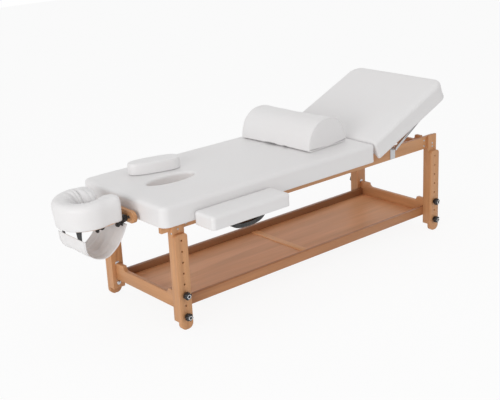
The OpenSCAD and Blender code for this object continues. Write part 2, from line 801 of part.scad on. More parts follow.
module prop_channels() {
    u0 = tip_at(stop_angles[len(stop_angles) - 1])[0] - prop_w;
    u1 = tip_at(0)[0] + prop_w / 2 + slip_gap;
    inner = prop_y - channel_play;
    outer = prop_y + prop_t + channel_play;
    color(steel_color) in_row() in_back() for (far = [false, true]) on_side(far) {
        block([u0, -inner, back_deck_z - channel_depth], [u1, -inner + channel_wall, back_deck_z]);
        block([u0, -outer - channel_wall, back_deck_z - channel_depth], [u1, -outer, back_deck_z]);
        block([u0, -outer - channel_wall, back_deck_z - channel_wall],
            [u1, -inner + channel_wall, back_deck_z]);
        for (a = stop_angles) let (p = tip_at(a))
            rod_y(stop_r, p[0], p[1] + prop_w / 2 + stop_gap + stop_r,
                -outer - channel_wall, -inner + channel_wall);
    }
}

// Armrest on the near side
module armrest_cushion() {
    y1 = -top_w / 2 - arm_gap;
    z1 = arm_z + arm_h;
    color(vinyl_color) in_row() difference() {
        translate([0, y1 - arm_w / 2, 0])
            loft(slab_rings(arm_x, arm_x + arm_len, arm_w, arm_corner_r, arm_corner_r, arm_z, z1,
                edge_r, crown_rise, crown_run));
        armrest_core();
        for (x = arm_pin_xs)
            rod_y(arm_pin_d / 2 + slip_gap, x, socket_z, y1 - arm_wall - over, y1 + over, cover_sides);
    }
}

module armrest_core() {
    y1 = -top_w / 2 - arm_gap - arm_wall;
    y0 = y1 - arm_w + 2 * arm_wall;
    z0 = arm_z + arm_cover_t;
    block([arm_x + arm_wall, y0, arm_z - over], [arm_x + arm_len - arm_wall, y1, z0 + arm_panel_t]);
    block([arm_x + arm_wall, y1 - arm_batten_t, z0],
        [arm_x + arm_len - arm_wall, y1, z0 + arm_panel_t + arm_batten_h]);
}

module armrest_board() {
    y1 = -top_w / 2 - arm_gap - arm_wall;
    color(wood_color) in_row() difference() {
        intersection() {
            armrest_core();
            block([arm_x, y1 - arm_w, arm_z], [arm_x + arm_len, y1 + over, arm_z + arm_h]);
        }
        for (x = arm_pin_xs) rod_y(arm_pin_d / 2, x, socket_z, y1 - arm_batten_t, y1 + over);
    }
}

module armrest_pins() {
    y1 = -top_w / 2 - arm_gap - arm_wall;
    color(steel_color) in_row() for (x = arm_pin_xs)
        rod_y(arm_pin_d / 2, x, socket_z, y1 - arm_batten_t, -top_w / 2 + skirt_t + rim_t + block_depth);
}

// Steel bow under the armrest, an arc with two feet
module armrest_bow() {
    half = bow_w / 2;
    r = (half * half + bow_h * bow_h) / (2 * bow_h);
    z = arm_z;
    color(black_color) in_row() {
        intersection() {
            difference() {
                rod_y(r, arm_mid_x, z - bow_h + r, -bow_y - bow_strip / 2, -bow_y + bow_strip / 2);
                rod_y(r - bow_t, arm_mid_x, z - bow_h + r, -bow_y - bow_strip, -bow_y + bow_strip);
            }
            block([arm_mid_x - half, -bow_y - bow_strip, z - bow_h - over],
                [arm_mid_x + half, -bow_y + bow_strip, z]);
        }
        for (s = [-1, 1]) translate([arm_mid_x + s * half, 0, 0])
            block([-foot_len / 2, -bow_y - bow_strip / 2, z - foot_t],
                [foot_len / 2, -bow_y + bow_strip / 2, z]);
    }
}

// Loose pads
oval_power = 0.72;
pad_steps = 32;
function power(v, p) = sign(v) * pow(abs(v), p);
function oval_ring(l, w, z) = [for (i = [0:pad_steps - 1]) let (a = 360 * i / pad_steps)
    [l / 2 * power(cos(a), oval_power), w / 2 * power(sin(a), oval_power), z]];

module face_plug() {
    r = edge_r;
    function ring(d, z) = oval_ring(plug_len - 2 * d, plug_w - 2 * d, z);
    color(vinyl_color) in_row() translate([hole_x, hole_y, top_z]) translate(plug_off) rotate(plug_turn)
        loft(concat([ring(r / 4, 0), ring(0, r / 4), ring(crown_rise / 2, plug_h / 2)],
            [for (i = [0:edge_steps]) let (a = 90 * i / edge_steps)
                ring(r * (1 - cos(a)), plug_h - crown_rise - r + r * sin(a))],
            [ring(plug_w / 3, plug_h)]));
}

// Half-round bolster, drawn in between its ends
bolster_steps = 28;
bolster_power = 0.86;
bolster_edge = 9;
round_share = 0.3; // middle ring of the rounded ends as a share of their radius
waist_share = 1.3; // drawing in at the waist as a share of that at its sides
function bolster_ring(t, w, h) = [for (i = [0:bolster_steps]) let (a = 180 * i / bolster_steps)
    [w / 2 * power(cos(a), bolster_power), t, h * power(sin(a), bolster_power)]];

module bolster() {
    e = bolster_edge;
    half = bolster_len / 2;
    function ring(t, d) = bolster_ring(t, bolster_w - 2 * d, bolster_h - d);
    color(vinyl_color) in_row() translate([fold_x - bolster_back, bolster_y, top_z]) rotate(bolster_turn)
        mirror([0, 1, 0])
        loft([ring(-half, e), ring(-half + e * round_share, e * round_share), ring(-half + e, 0),
            ring(-half / 2, crown_rise), ring(0, crown_rise * waist_share), ring(half / 2, crown_rise),
            ring(half - e, 0), ring(half - e * round_share, e * round_share), ring(half, e)]);
}

// Head cradle
module cradle_board() {
    r = board_h / 2;
    half = board_len / 2;
    color(wood_color) in_row() difference() {
        translate([board_x, 0, board_z]) rotate([90, 0, 90]) linear_extrude(board_t) union() {
            translate([-half + r, -r]) square([2 * (half - r), 2 * r]);
            for (s = [-1, 1]) translate([s * (half - r), 0]) circle(r = r);
        }
        for (s = [-1, 1])
            rod_x(dowel_d / 2, s * dowel_gap / 2, board_z, board_x - over, board_x + board_t + over);
    }
}

module cradle_dowels() {
    color(steel_color) in_row() for (s = [-1, 1]) {
        rod_x(dowel_d / 2, s * dowel_gap / 2, board_z, board_x, skirt_t + rim_t + dowel_in);
        rod_x(bolt_cap_r, s * dowel_gap / 2, board_z, board_x - bolt_cap_t, board_x);
    }
}

// Rod fixed in two lugs on the board's front face, with a cap at its far end
module cradle_pivot_rod() {
    color(steel_color) in_row() {
        rod_y(pivot_r, pivot_x, pivot_z, -cap_y - cap_t / 2, cap_y + soft_gap);
        rod_y(cap_r, pivot_x, pivot_z, cap_y + soft_gap, cap_y + cap_t);
        for (far = [false, true]) on_side(far) {
            rod_y(lug_r, pivot_x, pivot_z, -lug_y - lug_t, -lug_y);
            block([pivot_x, -lug_y - lug_t, pivot_z - lug_r], [board_x, -lug_y, pivot_z + lug_r]);
            block([board_x - bracket_t, -lug_y - lug_t, board_z - board_h / 2 + bracket_t],
                [board_x, -lug_y + lug_t, board_z + board_h / 2 - bracket_t]);
        }
    }
}

arm_y = lug_y + lug_t + soft_gap;
arm_slope = atan2(pivot_z - platform_pivot_z, pivot_x - platform_pivot_x);
arm_span = norm([pivot_x - platform_pivot_x, pivot_z - platform_pivot_z]);
slot_share = 0.4; // length of the arms' slots as a share of their span
slot_len = arm_span * slot_share;
slot_r = arm_end_r / 3;

module cradle_arms() {
    color(steel_color) in_row() translate([pivot_x, 0, pivot_z]) rotate([0, -arm_slope, 0])
        for (far = [false, true]) on_side(far) difference() {
            link_y([-arm_span, 0], [0, 0], arm_end_r, -arm_y - cradle_arm_t, -arm_y);
            rod_y(pivot_r + run_gap, 0, 0, -arm_y - cradle_arm_t - over, -arm_y + over);
            rod_y(small_pivot_r, -arm_span, 0, -arm_y - cradle_arm_t - over, -arm_y + over);
            translate([-arm_span / 2 - slot_len / 2, 0, 0])
                link_y([0, 0], [slot_len, 0], slot_r, -arm_y - cradle_arm_t - over, -arm_y + over);
        }
}

module platform_pivot_rod() {
    out = arm_y + cradle_arm_t;
    color(steel_color) in_row() {
        rod_y(small_pivot_r, platform_pivot_x, platform_pivot_z, -out - cap_t / 2, out + cap_t / 2);
        rod_y(small_cap_r, platform_pivot_x, platform_pivot_z, out, out + cap_t / 2);
    }
}

// Round clamping lever: a knob with a short handle towards the platform
module lever(x, z, r, hub_r, y, t, length, w) {
    color(black_color) in_row() difference() {
        union() {
            rod_y(r, x, z, -y - t, -y);
            translate([x, 0, z]) rotate([0, -arm_slope - lever_drop, 0])
                link_y([-length, 0], [0, 0], w / 2, -y - t + lever_in, -y - lever_in);
        }
        rod_y(hub_r + run_gap, x, z, -y - t / 2 - run_gap, -y + over);
    }
}

module arm_lock_lever() {
    lever(pivot_x, pivot_z, cap_r, pivot_r, cap_y, cap_t, lever_len, lever_w);
}

module platform_lock_lever() {
    lever(platform_pivot_x, platform_pivot_z, small_cap_r, small_pivot_r,
        arm_y + cradle_arm_t + soft_gap, cap_t, small_lever_len, small_lever_w);
}

roll_r = roll_w / 2;
bend_r = (face_w - roll_w) / 2;
bend_x = -face_len / 2 + bend_r + roll_r; // centre of the horseshoe's bend, in the platform's frame
arm_end_round = 26; // radius of the horseshoe's squared arm ends
arms_end_x = face_len / 2 - arm_end_round; // where its arms start to round off
pivot_local = [
    (platform_pivot_x - platform_x) * cos(cradle_tilt) + (platform_pivot_z - platform_z) * sin(cradle_tilt),
    (platform_pivot_z - platform_z) * cos(cradle_tilt) - (platform_pivot_x - platform_x) * sin(cradle_tilt)];

module cradle_platform() {
    half = face_w / 2 - platform_in;
    x0 = -face_len / 2 + platform_in;
    x1 = face_len / 2 - platform_end_in;
    color(wood_color) in_row() in_platform() difference() {
        union() {
            translate([0, 0, -platform_t - soft_gap]) linear_extrude(platform_t) difference() {
                plan(x0, x1, 2 * half, half - least_r, roll_r);
                translate([bend_x, 0]) circle(r = platform_hole_r);
                translate([bend_x, -platform_hole_r]) square([x1 - notch_run - bend_x, 2 * platform_hole_r]);
                translate([x1 - notch_run, -notch_half]) square([notch_run + over, 2 * notch_half]);
            }
            for (far = [false, true]) on_side(far) {
                rod_y(lug_r, pivot_local[0], pivot_local[1], -lug_y - lug_t, -lug_y);
                block([pivot_local[0] - lug_r, -lug_y - lug_t, pivot_local[1]],
                    [pivot_local[0] + lug_r, -lug_y, -platform_t - soft_gap]);
            }
        }
        rod_y(small_pivot_r + run_gap, pivot_local[0], pivot_local[1], -face_w, face_w);
    }
}

// Horseshoe cushion: a full roll swept round a bend with straight, rounded-off arms
roll_steps = 16;
roll_power = 0.8;
end_share = 0.55; // share of the roll's height that its rounded ends keep
function roll_ring(c, dir, s) = [for (i = [0:roll_steps - 1])
    let (a = 360 * i / roll_steps, u = roll_r * s * power(cos(a), roll_power),
        w = face_h / 2 * (1 + (end_share + (1 - end_share) * s) * power(sin(a), roll_power)))
    [c[0] - dir[1] * u, c[1] + dir[0] * u, w]];

module face_cushion() {
    bend_steps = 14;
    cap_angles = [78, 55, 28];
    function shrink(a) = 1 - (1 - cos(a)) * arm_end_round / roll_r;
    near = [for (a = cap_angles)
        roll_ring([arms_end_x + arm_end_round * sin(a), -bend_r], [-1, 0], shrink(a))];
    bend = [for (i = [0:bend_steps]) let (a = 270 - 180 * i / bend_steps)
        roll_ring([bend_x + bend_r * cos(a), bend_r * sin(a)], [sin(a), -cos(a)], 1)];
    far = [for (i = [2:-1:0]) let (a = cap_angles[i])
        roll_ring([arms_end_x + arm_end_round * sin(a), bend_r], [1, 0], shrink(a))];
    color(vinyl_color) in_row() in_platform()
        loft(concat(near, [roll_ring([arms_end_x, -bend_r], [-1, 0], 1)], bend,
            [roll_ring([arms_end_x, bend_r], [1, 0], 1)], far));
}

// Hanging arm rest: a sheet that sags in a full curve, with shallow folds across it
sling_steps = 18;
fold_steps = 12;
fold_depth = 2.5;
fold_count = 3;
function sling_point(t, y, off) =
    let (a = 180 * t, half = (sling_rear_x - sling_front_x) / 2 - off,
        x = (sling_rear_x + sling_front_x) / 2 - half * power(cos(a), sling_power),
        edge = sling_front_z + (sling_rear_z - sling_front_z) * t,
        ripple = fold_depth * sin(a) * cos(360 * fold_count * y / sling_w))
    [x, y, edge - (sling_h - off) * pow(sin(a), sling_power) + ripple * sin(a)];

function sling_ring(t) = concat(
    [for (i = [0:fold_steps]) sling_point(t, -sling_w / 2 + sling_w * i / fold_steps, 0)],
    [for (i = [fold_steps:-1:0]) sling_point(t, -sling_w / 2 + sling_w * i / fold_steps, sling_t)]);

module arm_sling() {
    color(vinyl_color) in_row() {
        loft([for (j = [0:sling_steps]) sling_ring(j / sling_steps)]);
        for (far = [false, true]) on_side(far) {
            difference() {
                rod_y(pivot_r + soft_gap + strap_t, pivot_x, pivot_z,
                    -loop_y - loop_w / 2, -loop_y + loop_w / 2);
                rod_y(pivot_r + soft_gap, pivot_x, pivot_z, -loop_y - loop_w, -loop_y + loop_w);
            }
            block([sling_rear_x - sling_t, -loop_y - loop_w / 2, sling_rear_z - strap_w / 2],
                [sling_rear_x, -loop_y + loop_w / 2, pivot_z - pivot_r]);
        }
    }
}

module sling_straps() {
    x1 = sling_front_x - soft_gap;
    top = platform_z + (x1 - platform_x) * sin(cradle_tilt) - platform_t - 2 * soft_gap;
    color(black_color) in_row() for (far = [false, true]) on_side(far) {
        block([x1 - strap_t, -strap_y - strap_w / 2, sling_front_z - strap_w / 2],
            [x1, -strap_y + strap_w / 2, top - strap_t]);
        block([x1 - strap_t, -strap_y - strap_w / 2, top - 2 * strap_t],
            [x1 + strap_flange, -strap_y + strap_w / 2, top - strap_t]);
    }
}

post(post_x, false);  // post_head_near
post(post_x, true);  // post_head_far
post(foot_post_x, false);  // post_foot_near
post(foot_post_x, true);  // post_foot_far
side_beam(false);  // side_beam_near
side_beam(true);  // side_beam_far
upper_crossbar(upper_bar_head_x);  // upper_crossbar_head
upper_crossbar(upper_bar_foot_x);  // upper_crossbar_foot
lower_crossbar(post_mid_x - bar_t / 2);  // lower_crossbar_head
lower_crossbar(foot_mid_x - bar_t / 2);  // lower_crossbar_foot
shelf_rail(false);  // shelf_rail_near
shelf_rail(true);  // shelf_rail_far
shelf_panels();
shelf_batten();
deck_bearers();
main_deck();
main_rim();
main_cushion();
socket_blocks();
leg_bolts();
frame_screws();
prop_brackets();
back_hinge_main_leaves();
back_hinge_pins();
back_deck();
back_rim();
back_cushion();
back_hinge_panel_leaves();
prop_channels();
prop(false);  // prop_near
prop(true);  // prop_far
leg_board(post_x, false);  // leg_board_head_near
leg_board(post_x, true);  // leg_board_head_far
leg_board(foot_post_x, false);  // leg_board_foot_near
leg_board(foot_post_x, true);  // leg_board_foot_far
knob(post_mid_x, high_bolt_z, false);  // knob_head_near_upper
knob(post_mid_x, low_bolt_z, false);  // knob_head_near_lower
knob(post_mid_x, high_bolt_z, true);  // knob_head_far_upper
knob(post_mid_x, low_bolt_z, true);  // knob_head_far_lower
knob(foot_mid_x, high_bolt_z, false);  // knob_foot_near_upper
knob(foot_mid_x, low_bolt_z, false);  // knob_foot_near_lower
knob(foot_mid_x, high_bolt_z, true);  // knob_foot_far_upper
knob(foot_mid_x, low_bolt_z, true);  // knob_foot_far_lower
armrest_cushion();
armrest_board();
armrest_bow();
armrest_pins();
face_plug();
bolster();
cradle_board();
cradle_dowels();
cradle_pivot_rod();
cradle_arms();
platform_pivot_rod();
arm_lock_lever();
platform_lock_lever();
cradle_platform();
face_cushion();
arm_sling();
sling_straps();
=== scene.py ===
import itertools
import json
import math

import bmesh
import bpy
import numpy as np
from mathutils import Matrix, Vector


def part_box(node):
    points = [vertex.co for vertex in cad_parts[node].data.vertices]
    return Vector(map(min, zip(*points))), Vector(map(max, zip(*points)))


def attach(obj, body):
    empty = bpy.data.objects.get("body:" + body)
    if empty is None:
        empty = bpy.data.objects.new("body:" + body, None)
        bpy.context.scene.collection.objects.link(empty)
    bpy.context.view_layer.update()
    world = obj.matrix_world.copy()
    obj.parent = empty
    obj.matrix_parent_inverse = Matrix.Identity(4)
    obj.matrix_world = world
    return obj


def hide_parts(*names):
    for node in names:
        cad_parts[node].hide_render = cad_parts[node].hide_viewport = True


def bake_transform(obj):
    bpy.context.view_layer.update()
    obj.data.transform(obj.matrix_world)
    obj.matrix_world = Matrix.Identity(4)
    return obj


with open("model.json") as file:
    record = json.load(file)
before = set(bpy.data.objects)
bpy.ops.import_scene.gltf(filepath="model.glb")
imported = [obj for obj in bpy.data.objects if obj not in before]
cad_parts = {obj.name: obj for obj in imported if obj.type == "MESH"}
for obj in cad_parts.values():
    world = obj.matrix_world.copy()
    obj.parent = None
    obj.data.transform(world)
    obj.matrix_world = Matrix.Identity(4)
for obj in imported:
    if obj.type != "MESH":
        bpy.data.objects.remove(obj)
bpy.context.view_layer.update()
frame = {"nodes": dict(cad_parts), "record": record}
print("stage: frame loaded")

nodes = frame["nodes"]
bodies = frame["record"]["behaviour"]["bodies"]
bodyOf = {node: body for body, members in bodies.items() for node in members}


# Camera, from the photograph's own perspective
camera = dict(focalPixels=984.6, photoWidth=500, azimuth=-39.771, elevation=18.775, roll=-2.802,
              target=(0.0447, 0.0726, 0.350), across=0.0679, down=0.0346, distance=5.388, clipEnd=60)


def makeCamera(s):
    az, el, roll = (math.radians(s[k]) for k in ("azimuth", "elevation", "roll"))
    back = Vector((math.sin(az) * math.cos(el), -math.cos(az) * math.cos(el), math.sin(el)))
    level = (-back).cross(Vector((0, 0, 1))).normalized()
    rise = level.cross(-back)
    right = level * math.cos(roll) + rise * math.sin(roll)
    up = rise * math.cos(roll) - level * math.sin(roll)
    lens = bpy.data.cameras.new("camera")
    lens.sensor_fit = "HORIZONTAL"
    lens.lens = s["focalPixels"] / s["photoWidth"] * lens.sensor_width
    lens.clip_end = s["clipEnd"]
    eye = bpy.data.objects.new("camera", lens)
    turn = Matrix((right, up, back)).transposed().to_4x4()
    place = Vector(s["target"]) - right * s["across"] + up * s["down"] + back * s["distance"]
    eye.matrix_world = Matrix.Translation(place) @ turn
    bpy.context.scene.collection.objects.link(eye)
    bpy.context.scene.camera = eye


makeCamera(camera)


# Small helpers for shader trees: a node with its settings, its sockets linked or set
def add(tree, kind, sockets=(), **settings):
    node = tree.nodes.new(kind)
    for key, value in settings.items():
        setattr(node, key, value)
    feed(tree, node, dict(sockets))
    return node


def feed(tree, node, sockets):
    for key, value in sockets.items():
        if isinstance(value, bpy.types.NodeSocket):
            tree.links.new(value, node.inputs[key])
        else:
            node.inputs[key].default_value = value


def reckon(tree, operation, *values, clamp=False):
    return add(tree, "ShaderNodeMath", enumerate(values), operation=operation, use_clamp=clamp).outputs[0]


def stretched(tree, vector, scale):
    return add(tree, "ShaderNodeVectorMath", {0: vector, 1: scale}, operation="MULTIPLY").outputs[0]


def noiseOf(tree, vector, scale, detail=2.0, roughness=0.5, distortion=0.0):
    return add(tree, "ShaderNodeTexNoise", dict(Vector=vector, Scale=scale, Detail=detail, Roughness=roughness,
                                                Distortion=distortion)).outputs[0]


def ranged(tree, value, low, high, outLow=0.0, outHigh=1.0):
    return add(tree, "ShaderNodeMapRange", {"Value": value, "From Min": low, "From Max": high, "To Min": outLow,
                                            "To Max": outHigh}).outputs[0]


def blended(tree, factor, first, second, mode="MIX"):
    sockets = {0: factor, 6: first, 7: second}
    return add(tree, "ShaderNodeMix", sockets, data_type="RGBA", blend_type=mode).outputs[2]


# Studio: a pale floor, white surroundings and broad soft lamps on the camera's side
studio = dict(floorColor=(0.90, 0.90, 0.90, 1), floorSize=24, floorWhite=0.90, worldLevel=0.60)
lamps = dict(
    key=dict(place=(-7.0, -2.4, 2.1), aim=(0, 0, 0.45), size=(5.0, 3.2), watts=198),
    fill=dict(place=(1.0, -4.0, 1.2), aim=(0.3, 0, 0.45), size=(3.0, 2.0), watts=12),
    top=dict(place=(0.2, 0.3, 3.6), aim=(0, 0, 0), size=(3.0, 3.0), watts=16),
)


# What the camera sees, straight or by a reflection, as against what only lights
def cameraRays(tree):
    path = tree.nodes.new("ShaderNodeLightPath")
    total = path.outputs["Is Camera Ray"]
    for other in ("Is Glossy Ray", "Is Transmission Ray"):
        total = reckon(tree, "MAXIMUM", total, path.outputs[other])
    return total


# Two shaders by a share, as the only ones of a world or a material
def mixShaders(tree, share, first, second, outKind):
    mix = add(tree, "ShaderNodeMixShader", {0: share, 1: first.outputs[0], 2: second.outputs[0]})
    add(tree, outKind, dict(Surface=mix.outputs[0]))


def makeStudio(s):
    world = bpy.data.worlds.new("studioWorld")
    bpy.context.scene.world = world
    material = bpy.data.materials.new("studioFloor")
    for made in (world, material):
        made.use_nodes = True
        made.node_tree.nodes.clear()
    tree, white = world.node_tree, (1, 1, 1, 1)
    plain = add(tree, "ShaderNodeBackground", dict(Color=white, Strength=s["worldLevel"]))
    mixShaders(tree, cameraRays(tree), plain, add(tree, "ShaderNodeBackground", dict(Color=white)),
               "ShaderNodeOutputWorld")
    tree = material.node_tree
    share = reckon(tree, "MULTIPLY", cameraRays(tree), s["floorWhite"])
    mixShaders(tree, share, add(tree, "ShaderNodeBsdfDiffuse", dict(Color=s["floorColor"])),
               add(tree, "ShaderNodeEmission"), "ShaderNodeOutputMaterial")
    bpy.ops.mesh.primitive_plane_add(size=s["floorSize"])
    floor = bpy.context.object
    floor.name = "studioFloor"
    floor.data.materials.append(material)
    for name, lamp in lamps.items():
        light = bpy.data.lights.new(name, "AREA")
        light.shape = "RECTANGLE"
        light.size, light.size_y = lamp["size"]
        light.energy = lamp["watts"]
        holder = bpy.data.objects.new(name, light)
        aim = Vector(lamp["aim"]) - Vector(lamp["place"])
        turn = aim.to_track_quat("-Z", "Y").to_matrix().to_4x4()
        holder.matrix_world = Matrix.Translation(lamp["place"]) @ turn
        bpy.context.scene.collection.objects.link(holder)


makeStudio(studio)
bpy.context.scene.view_settings.view_transform = "Standard"
print("stage: camera and studio")


# A group takes a Vector and its own values; it gives Color, Roughness and Height
def newGroup(name, **inputs):
    tree = bpy.data.node_groups.new(name, "ShaderNodeTree")
    tree.interface.new_socket("Vector", in_out="INPUT", socket_type="NodeSocketVector")
    for label, value in inputs.items():
        kind = "NodeSocketColor" if isinstance(value, tuple) else "NodeSocketFloat"
        tree.interface.new_socket(label, in_out="INPUT", socket_type=kind).default_value = value
    return tree, tree.nodes.new("NodeGroupInput").outputs


def closeGroup(tree, color, roughness, height):
    out = tree.nodes.new("NodeGroupOutput")
    for label, kind, value in (("Color", "NodeSocketColor", color), ("Roughness", "NodeSocketFloat", roughness),
                               ("Height", "NodeSocketFloat", height)):
        tree.interface.new_socket(label, in_out="OUTPUT", socket_type=kind)
        tree.links.new(value, out.inputs[label])
    return tree


# Beech: growth bands, fibres and the short dark flecks of this wood, the grain along X
def makeBeechGroup():
    tree, given = newGroup("beechGrain", Light=(0.6, 0.4, 0.2, 1), Dark=(0.4, 0.2, 0.1, 1), Scale=1.0,
                           Bands=0.6, Flecks=0.35)
    vector = given["Vector"]
    wide = add(tree, "ShaderNodeVectorMath",
               {0: stretched(tree, vector, (1.3, 24, 24)), "Scale": given["Scale"]}, operation="SCALE")
    bands = ranged(tree, noiseOf(tree, wide.outputs[0], 1.0, 3.0, 0.55, 0.5), 0.36, 0.66)
    fibres = noiseOf(tree, stretched(tree, vector, (8, 300, 300)), 1.0, 3.0, 0.6)
    flecks = ranged(tree, noiseOf(tree, stretched(tree, vector, (230, 1500, 1500)), 1.0, 1.0), 0.60, 0.70)
    patches = noiseOf(tree, stretched(tree, vector, (2.2, 9, 9)), 1.0, 2.0)
    color = blended(tree, reckon(tree, "MULTIPLY", bands, given["Bands"]), given["Light"], given["Dark"])
    fine = ranged(tree, fibres, 0.3, 0.7, 0.93, 1.05)
    broad = ranged(tree, patches, 0.3, 0.7, 0.95, 1.05)
    tone = reckon(tree, "MULTIPLY", fine, broad)
    gray = add(tree, "ShaderNodeCombineColor", dict(Red=tone, Green=tone, Blue=tone))
    color = blended(tree, 1.0, color, gray.outputs[0], "MULTIPLY")
    fleckShade = reckon(tree, "MULTIPLY", flecks, given["Flecks"])
    return closeGroup(tree, blended(tree, fleckShade, color, given["Dark"]),
                      ranged(tree, fibres, 0.3, 0.7, 0.40, 0.54), reckon(tree, "SUBTRACT", fibres, fleckShade))


# Vinyl: fine pebbled skin over broad, barely seen mottling
def makeVinylGroup():
    tree, given = newGroup("vinylSkin", Color=(0.8, 0.8, 0.8, 1), Warm=(0.8, 0.7, 0.7, 1), Pebble=1050.0,
                           Mottle=0.25)
    cells = add(tree, "ShaderNodeTexVoronoi", dict(Vector=given["Vector"], Scale=given["Pebble"]),
                feature="SMOOTH_F1")
    creases = noiseOf(tree, given["Vector"], 46.0, 4.0, 0.55, 0.8)
    mottle = ranged(tree, noiseOf(tree, given["Vector"], 3.2, 2.0), 0.32, 0.68)
    share = reckon(tree, "MULTIPLY", mottle, given["Mottle"])
    low = reckon(tree, "MULTIPLY", creases, 2.4)
    return closeGroup(tree, blended(tree, share, given["Color"], given["Warm"]),
                      ranged(tree, creases, 0.3, 0.7, 0.40, 0.52),
                      reckon(tree, "ADD", cells.outputs["Distance"], low))


# Brushed or rolled metal: streaks along X with a few broader stains
def makeMetalGroup():
    tree, given = newGroup("rolledMetal", Color=(0.6, 0.6, 0.6, 1), Rough=0.3)
    streaks = noiseOf(tree, stretched(tree, given["Vector"], (60, 1400, 1400)), 1.0, 2.0)
    stains = noiseOf(tree, given["Vector"], 38.0, 3.0)
    dark = blended(tree, 0.22, given["Color"], (0.25, 0.25, 0.26, 1))
    spread = ranged(tree, streaks, 0.3, 0.7, -0.07, 0.09)
    return closeGroup(tree, blended(tree, ranged(tree, stains, 0.35, 0.75), given["Color"], dark),
                      reckon(tree, "ADD", given["Rough"], spread, clamp=True), streaks)


# Moulded or painted black: fine orange peel with dull, dusty patches
def makeMouldedGroup():
    tree, given = newGroup("mouldedSkin", Color=(0.02, 0.02, 0.02, 1), Rough=0.4)
    peel = noiseOf(tree, given["Vector"], 900.0, 2.0)
    dust = ranged(tree, noiseOf(tree, given["Vector"], 60.0, 3.0), 0.45, 0.8)
    color = blended(tree, reckon(tree, "MULTIPLY", dust, 0.10), given["Color"], (0.35, 0.34, 0.33, 1))
    spread = ranged(tree, dust, 0, 1, -0.05, 0.12)
    return closeGroup(tree, color, reckon(tree, "ADD", given["Rough"], spread), peel)


# Webbing: ribs across the strap and a finer thread along it, from the strap's own map in metres
def makeWebbingGroup():
    tree, given = newGroup("webbingWeave", Color=(0.02, 0.02, 0.02, 1), Thread=0.0016)
    parts = add(tree, "ShaderNodeSeparateXYZ", {0: given["Vector"]})
    turn = reckon(tree, "DIVIDE", 2 * math.pi, given["Thread"])
    across, along = (reckon(tree, "SINE", reckon(tree, "MULTIPLY", parts.outputs[k], turn)) for k in (0, 1))
    weave = reckon(tree, "MULTIPLY", across, along)
    mask = ranged(tree, weave, -1, 1)
    light = blended(tree, 0.5, given["Color"], (0.09, 0.09, 0.09, 1))
    return closeGroup(tree, blended(tree, mask, given["Color"], light),
                      ranged(tree, weave, -1, 1, 0.85, 0.65), mask)


groups = dict(beech=makeBeechGroup(), vinyl=makeVinylGroup(), metal=makeMetalGroup(),
              moulded=makeMouldedGroup(), webbing=makeWebbingGroup())


# A material is one shared group on a Principled shader; grain says which way X of the pattern lies
def makeMaterial(name, group, bump=0.1, bumpDistance=0.0005, grain="x", shift=0.0, uvMap=False, shader=None,
                 **values):
    material = bpy.data.materials.new(name)
    material.use_nodes = True
    tree = material.node_tree
    if uvMap:
        vector = add(tree, "ShaderNodeUVMap").outputs["UV"]
    else:
        mapping = dict(Vector=add(tree, "ShaderNodeTexCoord").outputs["Object"], Rotation=grainTurns[grain],
                       Location=(shift, shift * 0.7, -shift))
        vector = add(tree, "ShaderNodeMapping", mapping).outputs["Vector"]
    pattern = add(tree, "ShaderNodeGroup", dict(Vector=vector) | values, node_tree=groups[group]).outputs
    relief = add(tree, "ShaderNodeBump", dict(Strength=bump, Distance=bumpDistance, Height=pattern["Height"]))
    feed(tree, tree.nodes["Principled BSDF"],
         {"Base Color": pattern["Color"], "Roughness": pattern["Roughness"], "Normal": relief.outputs["Normal"]}
         | (shader or {}))
    return material


quarter = math.pi / 2
backTilt = math.radians(23.3)
grainTurns = dict(x=(0, 0, 0), y=(0, 0, -quarter), z=(0, quarter, 0), back=(0, backTilt, 0))

beechLight, beechDark = (0.63, 0.325, 0.150, 1), (0.45, 0.200, 0.078, 1)
nearLight, nearDark = (0.52, 0.240, 0.105, 1), (0.35, 0.140, 0.052, 1)
# Far shelf rail: beech darkened with painted shade, standing for the shadow under the table top
shadedRailLight, shadedRailDark = (0.33, 0.150, 0.065, 1), (0.20, 0.080, 0.030, 1)
plyLight, plyDark = (0.84, 0.470, 0.250, 1), (0.58, 0.290, 0.130, 1)
battenLight, battenDark = (0.90, 0.53, 0.27, 1), (0.70, 0.38, 0.17, 1)
vinylWhite, vinylWarm = (0.800, 0.790, 0.790, 1), (0.790, 0.755, 0.750, 1)
steelGray, aluminiumGray = (0.56, 0.56, 0.57, 1), (0.66, 0.66, 0.67, 1)
plasticBlack, paintBlack = (0.010, 0.010, 0.011, 1), (0.013, 0.013, 0.014, 1)
webbingBlack, threadWhite, chromeGray = (0.006, 0.006, 0.007, 1), (0.74, 0.73, 0.72, 1), (0.72, 0.72, 0.73, 1)


def beech(name, grain, shift, light=beechLight, dark=beechDark, **values):
    settings = dict(Light=light, Dark=dark, Scale=1.0, Bands=0.55, Flecks=0.35) | values
    return makeMaterial(name, "beech", bump=0.25, bumpDistance=0.0003, grain=grain, shift=shift,
                        shader={"Coat Weight": 0.05, "Coat Roughness": 0.35}, **settings)


def plywood(name, grain, shift, scale, **values):
    return beech(name, grain, shift, plyLight, plyDark, Flecks=0.15, Scale=scale, **values)


def metal(name, color, rough, bump):
    return makeMaterial(name, "metal", bump=bump, bumpDistance=0.0001, Color=color, Rough=rough,
                        shader={"Metallic": 1.0})


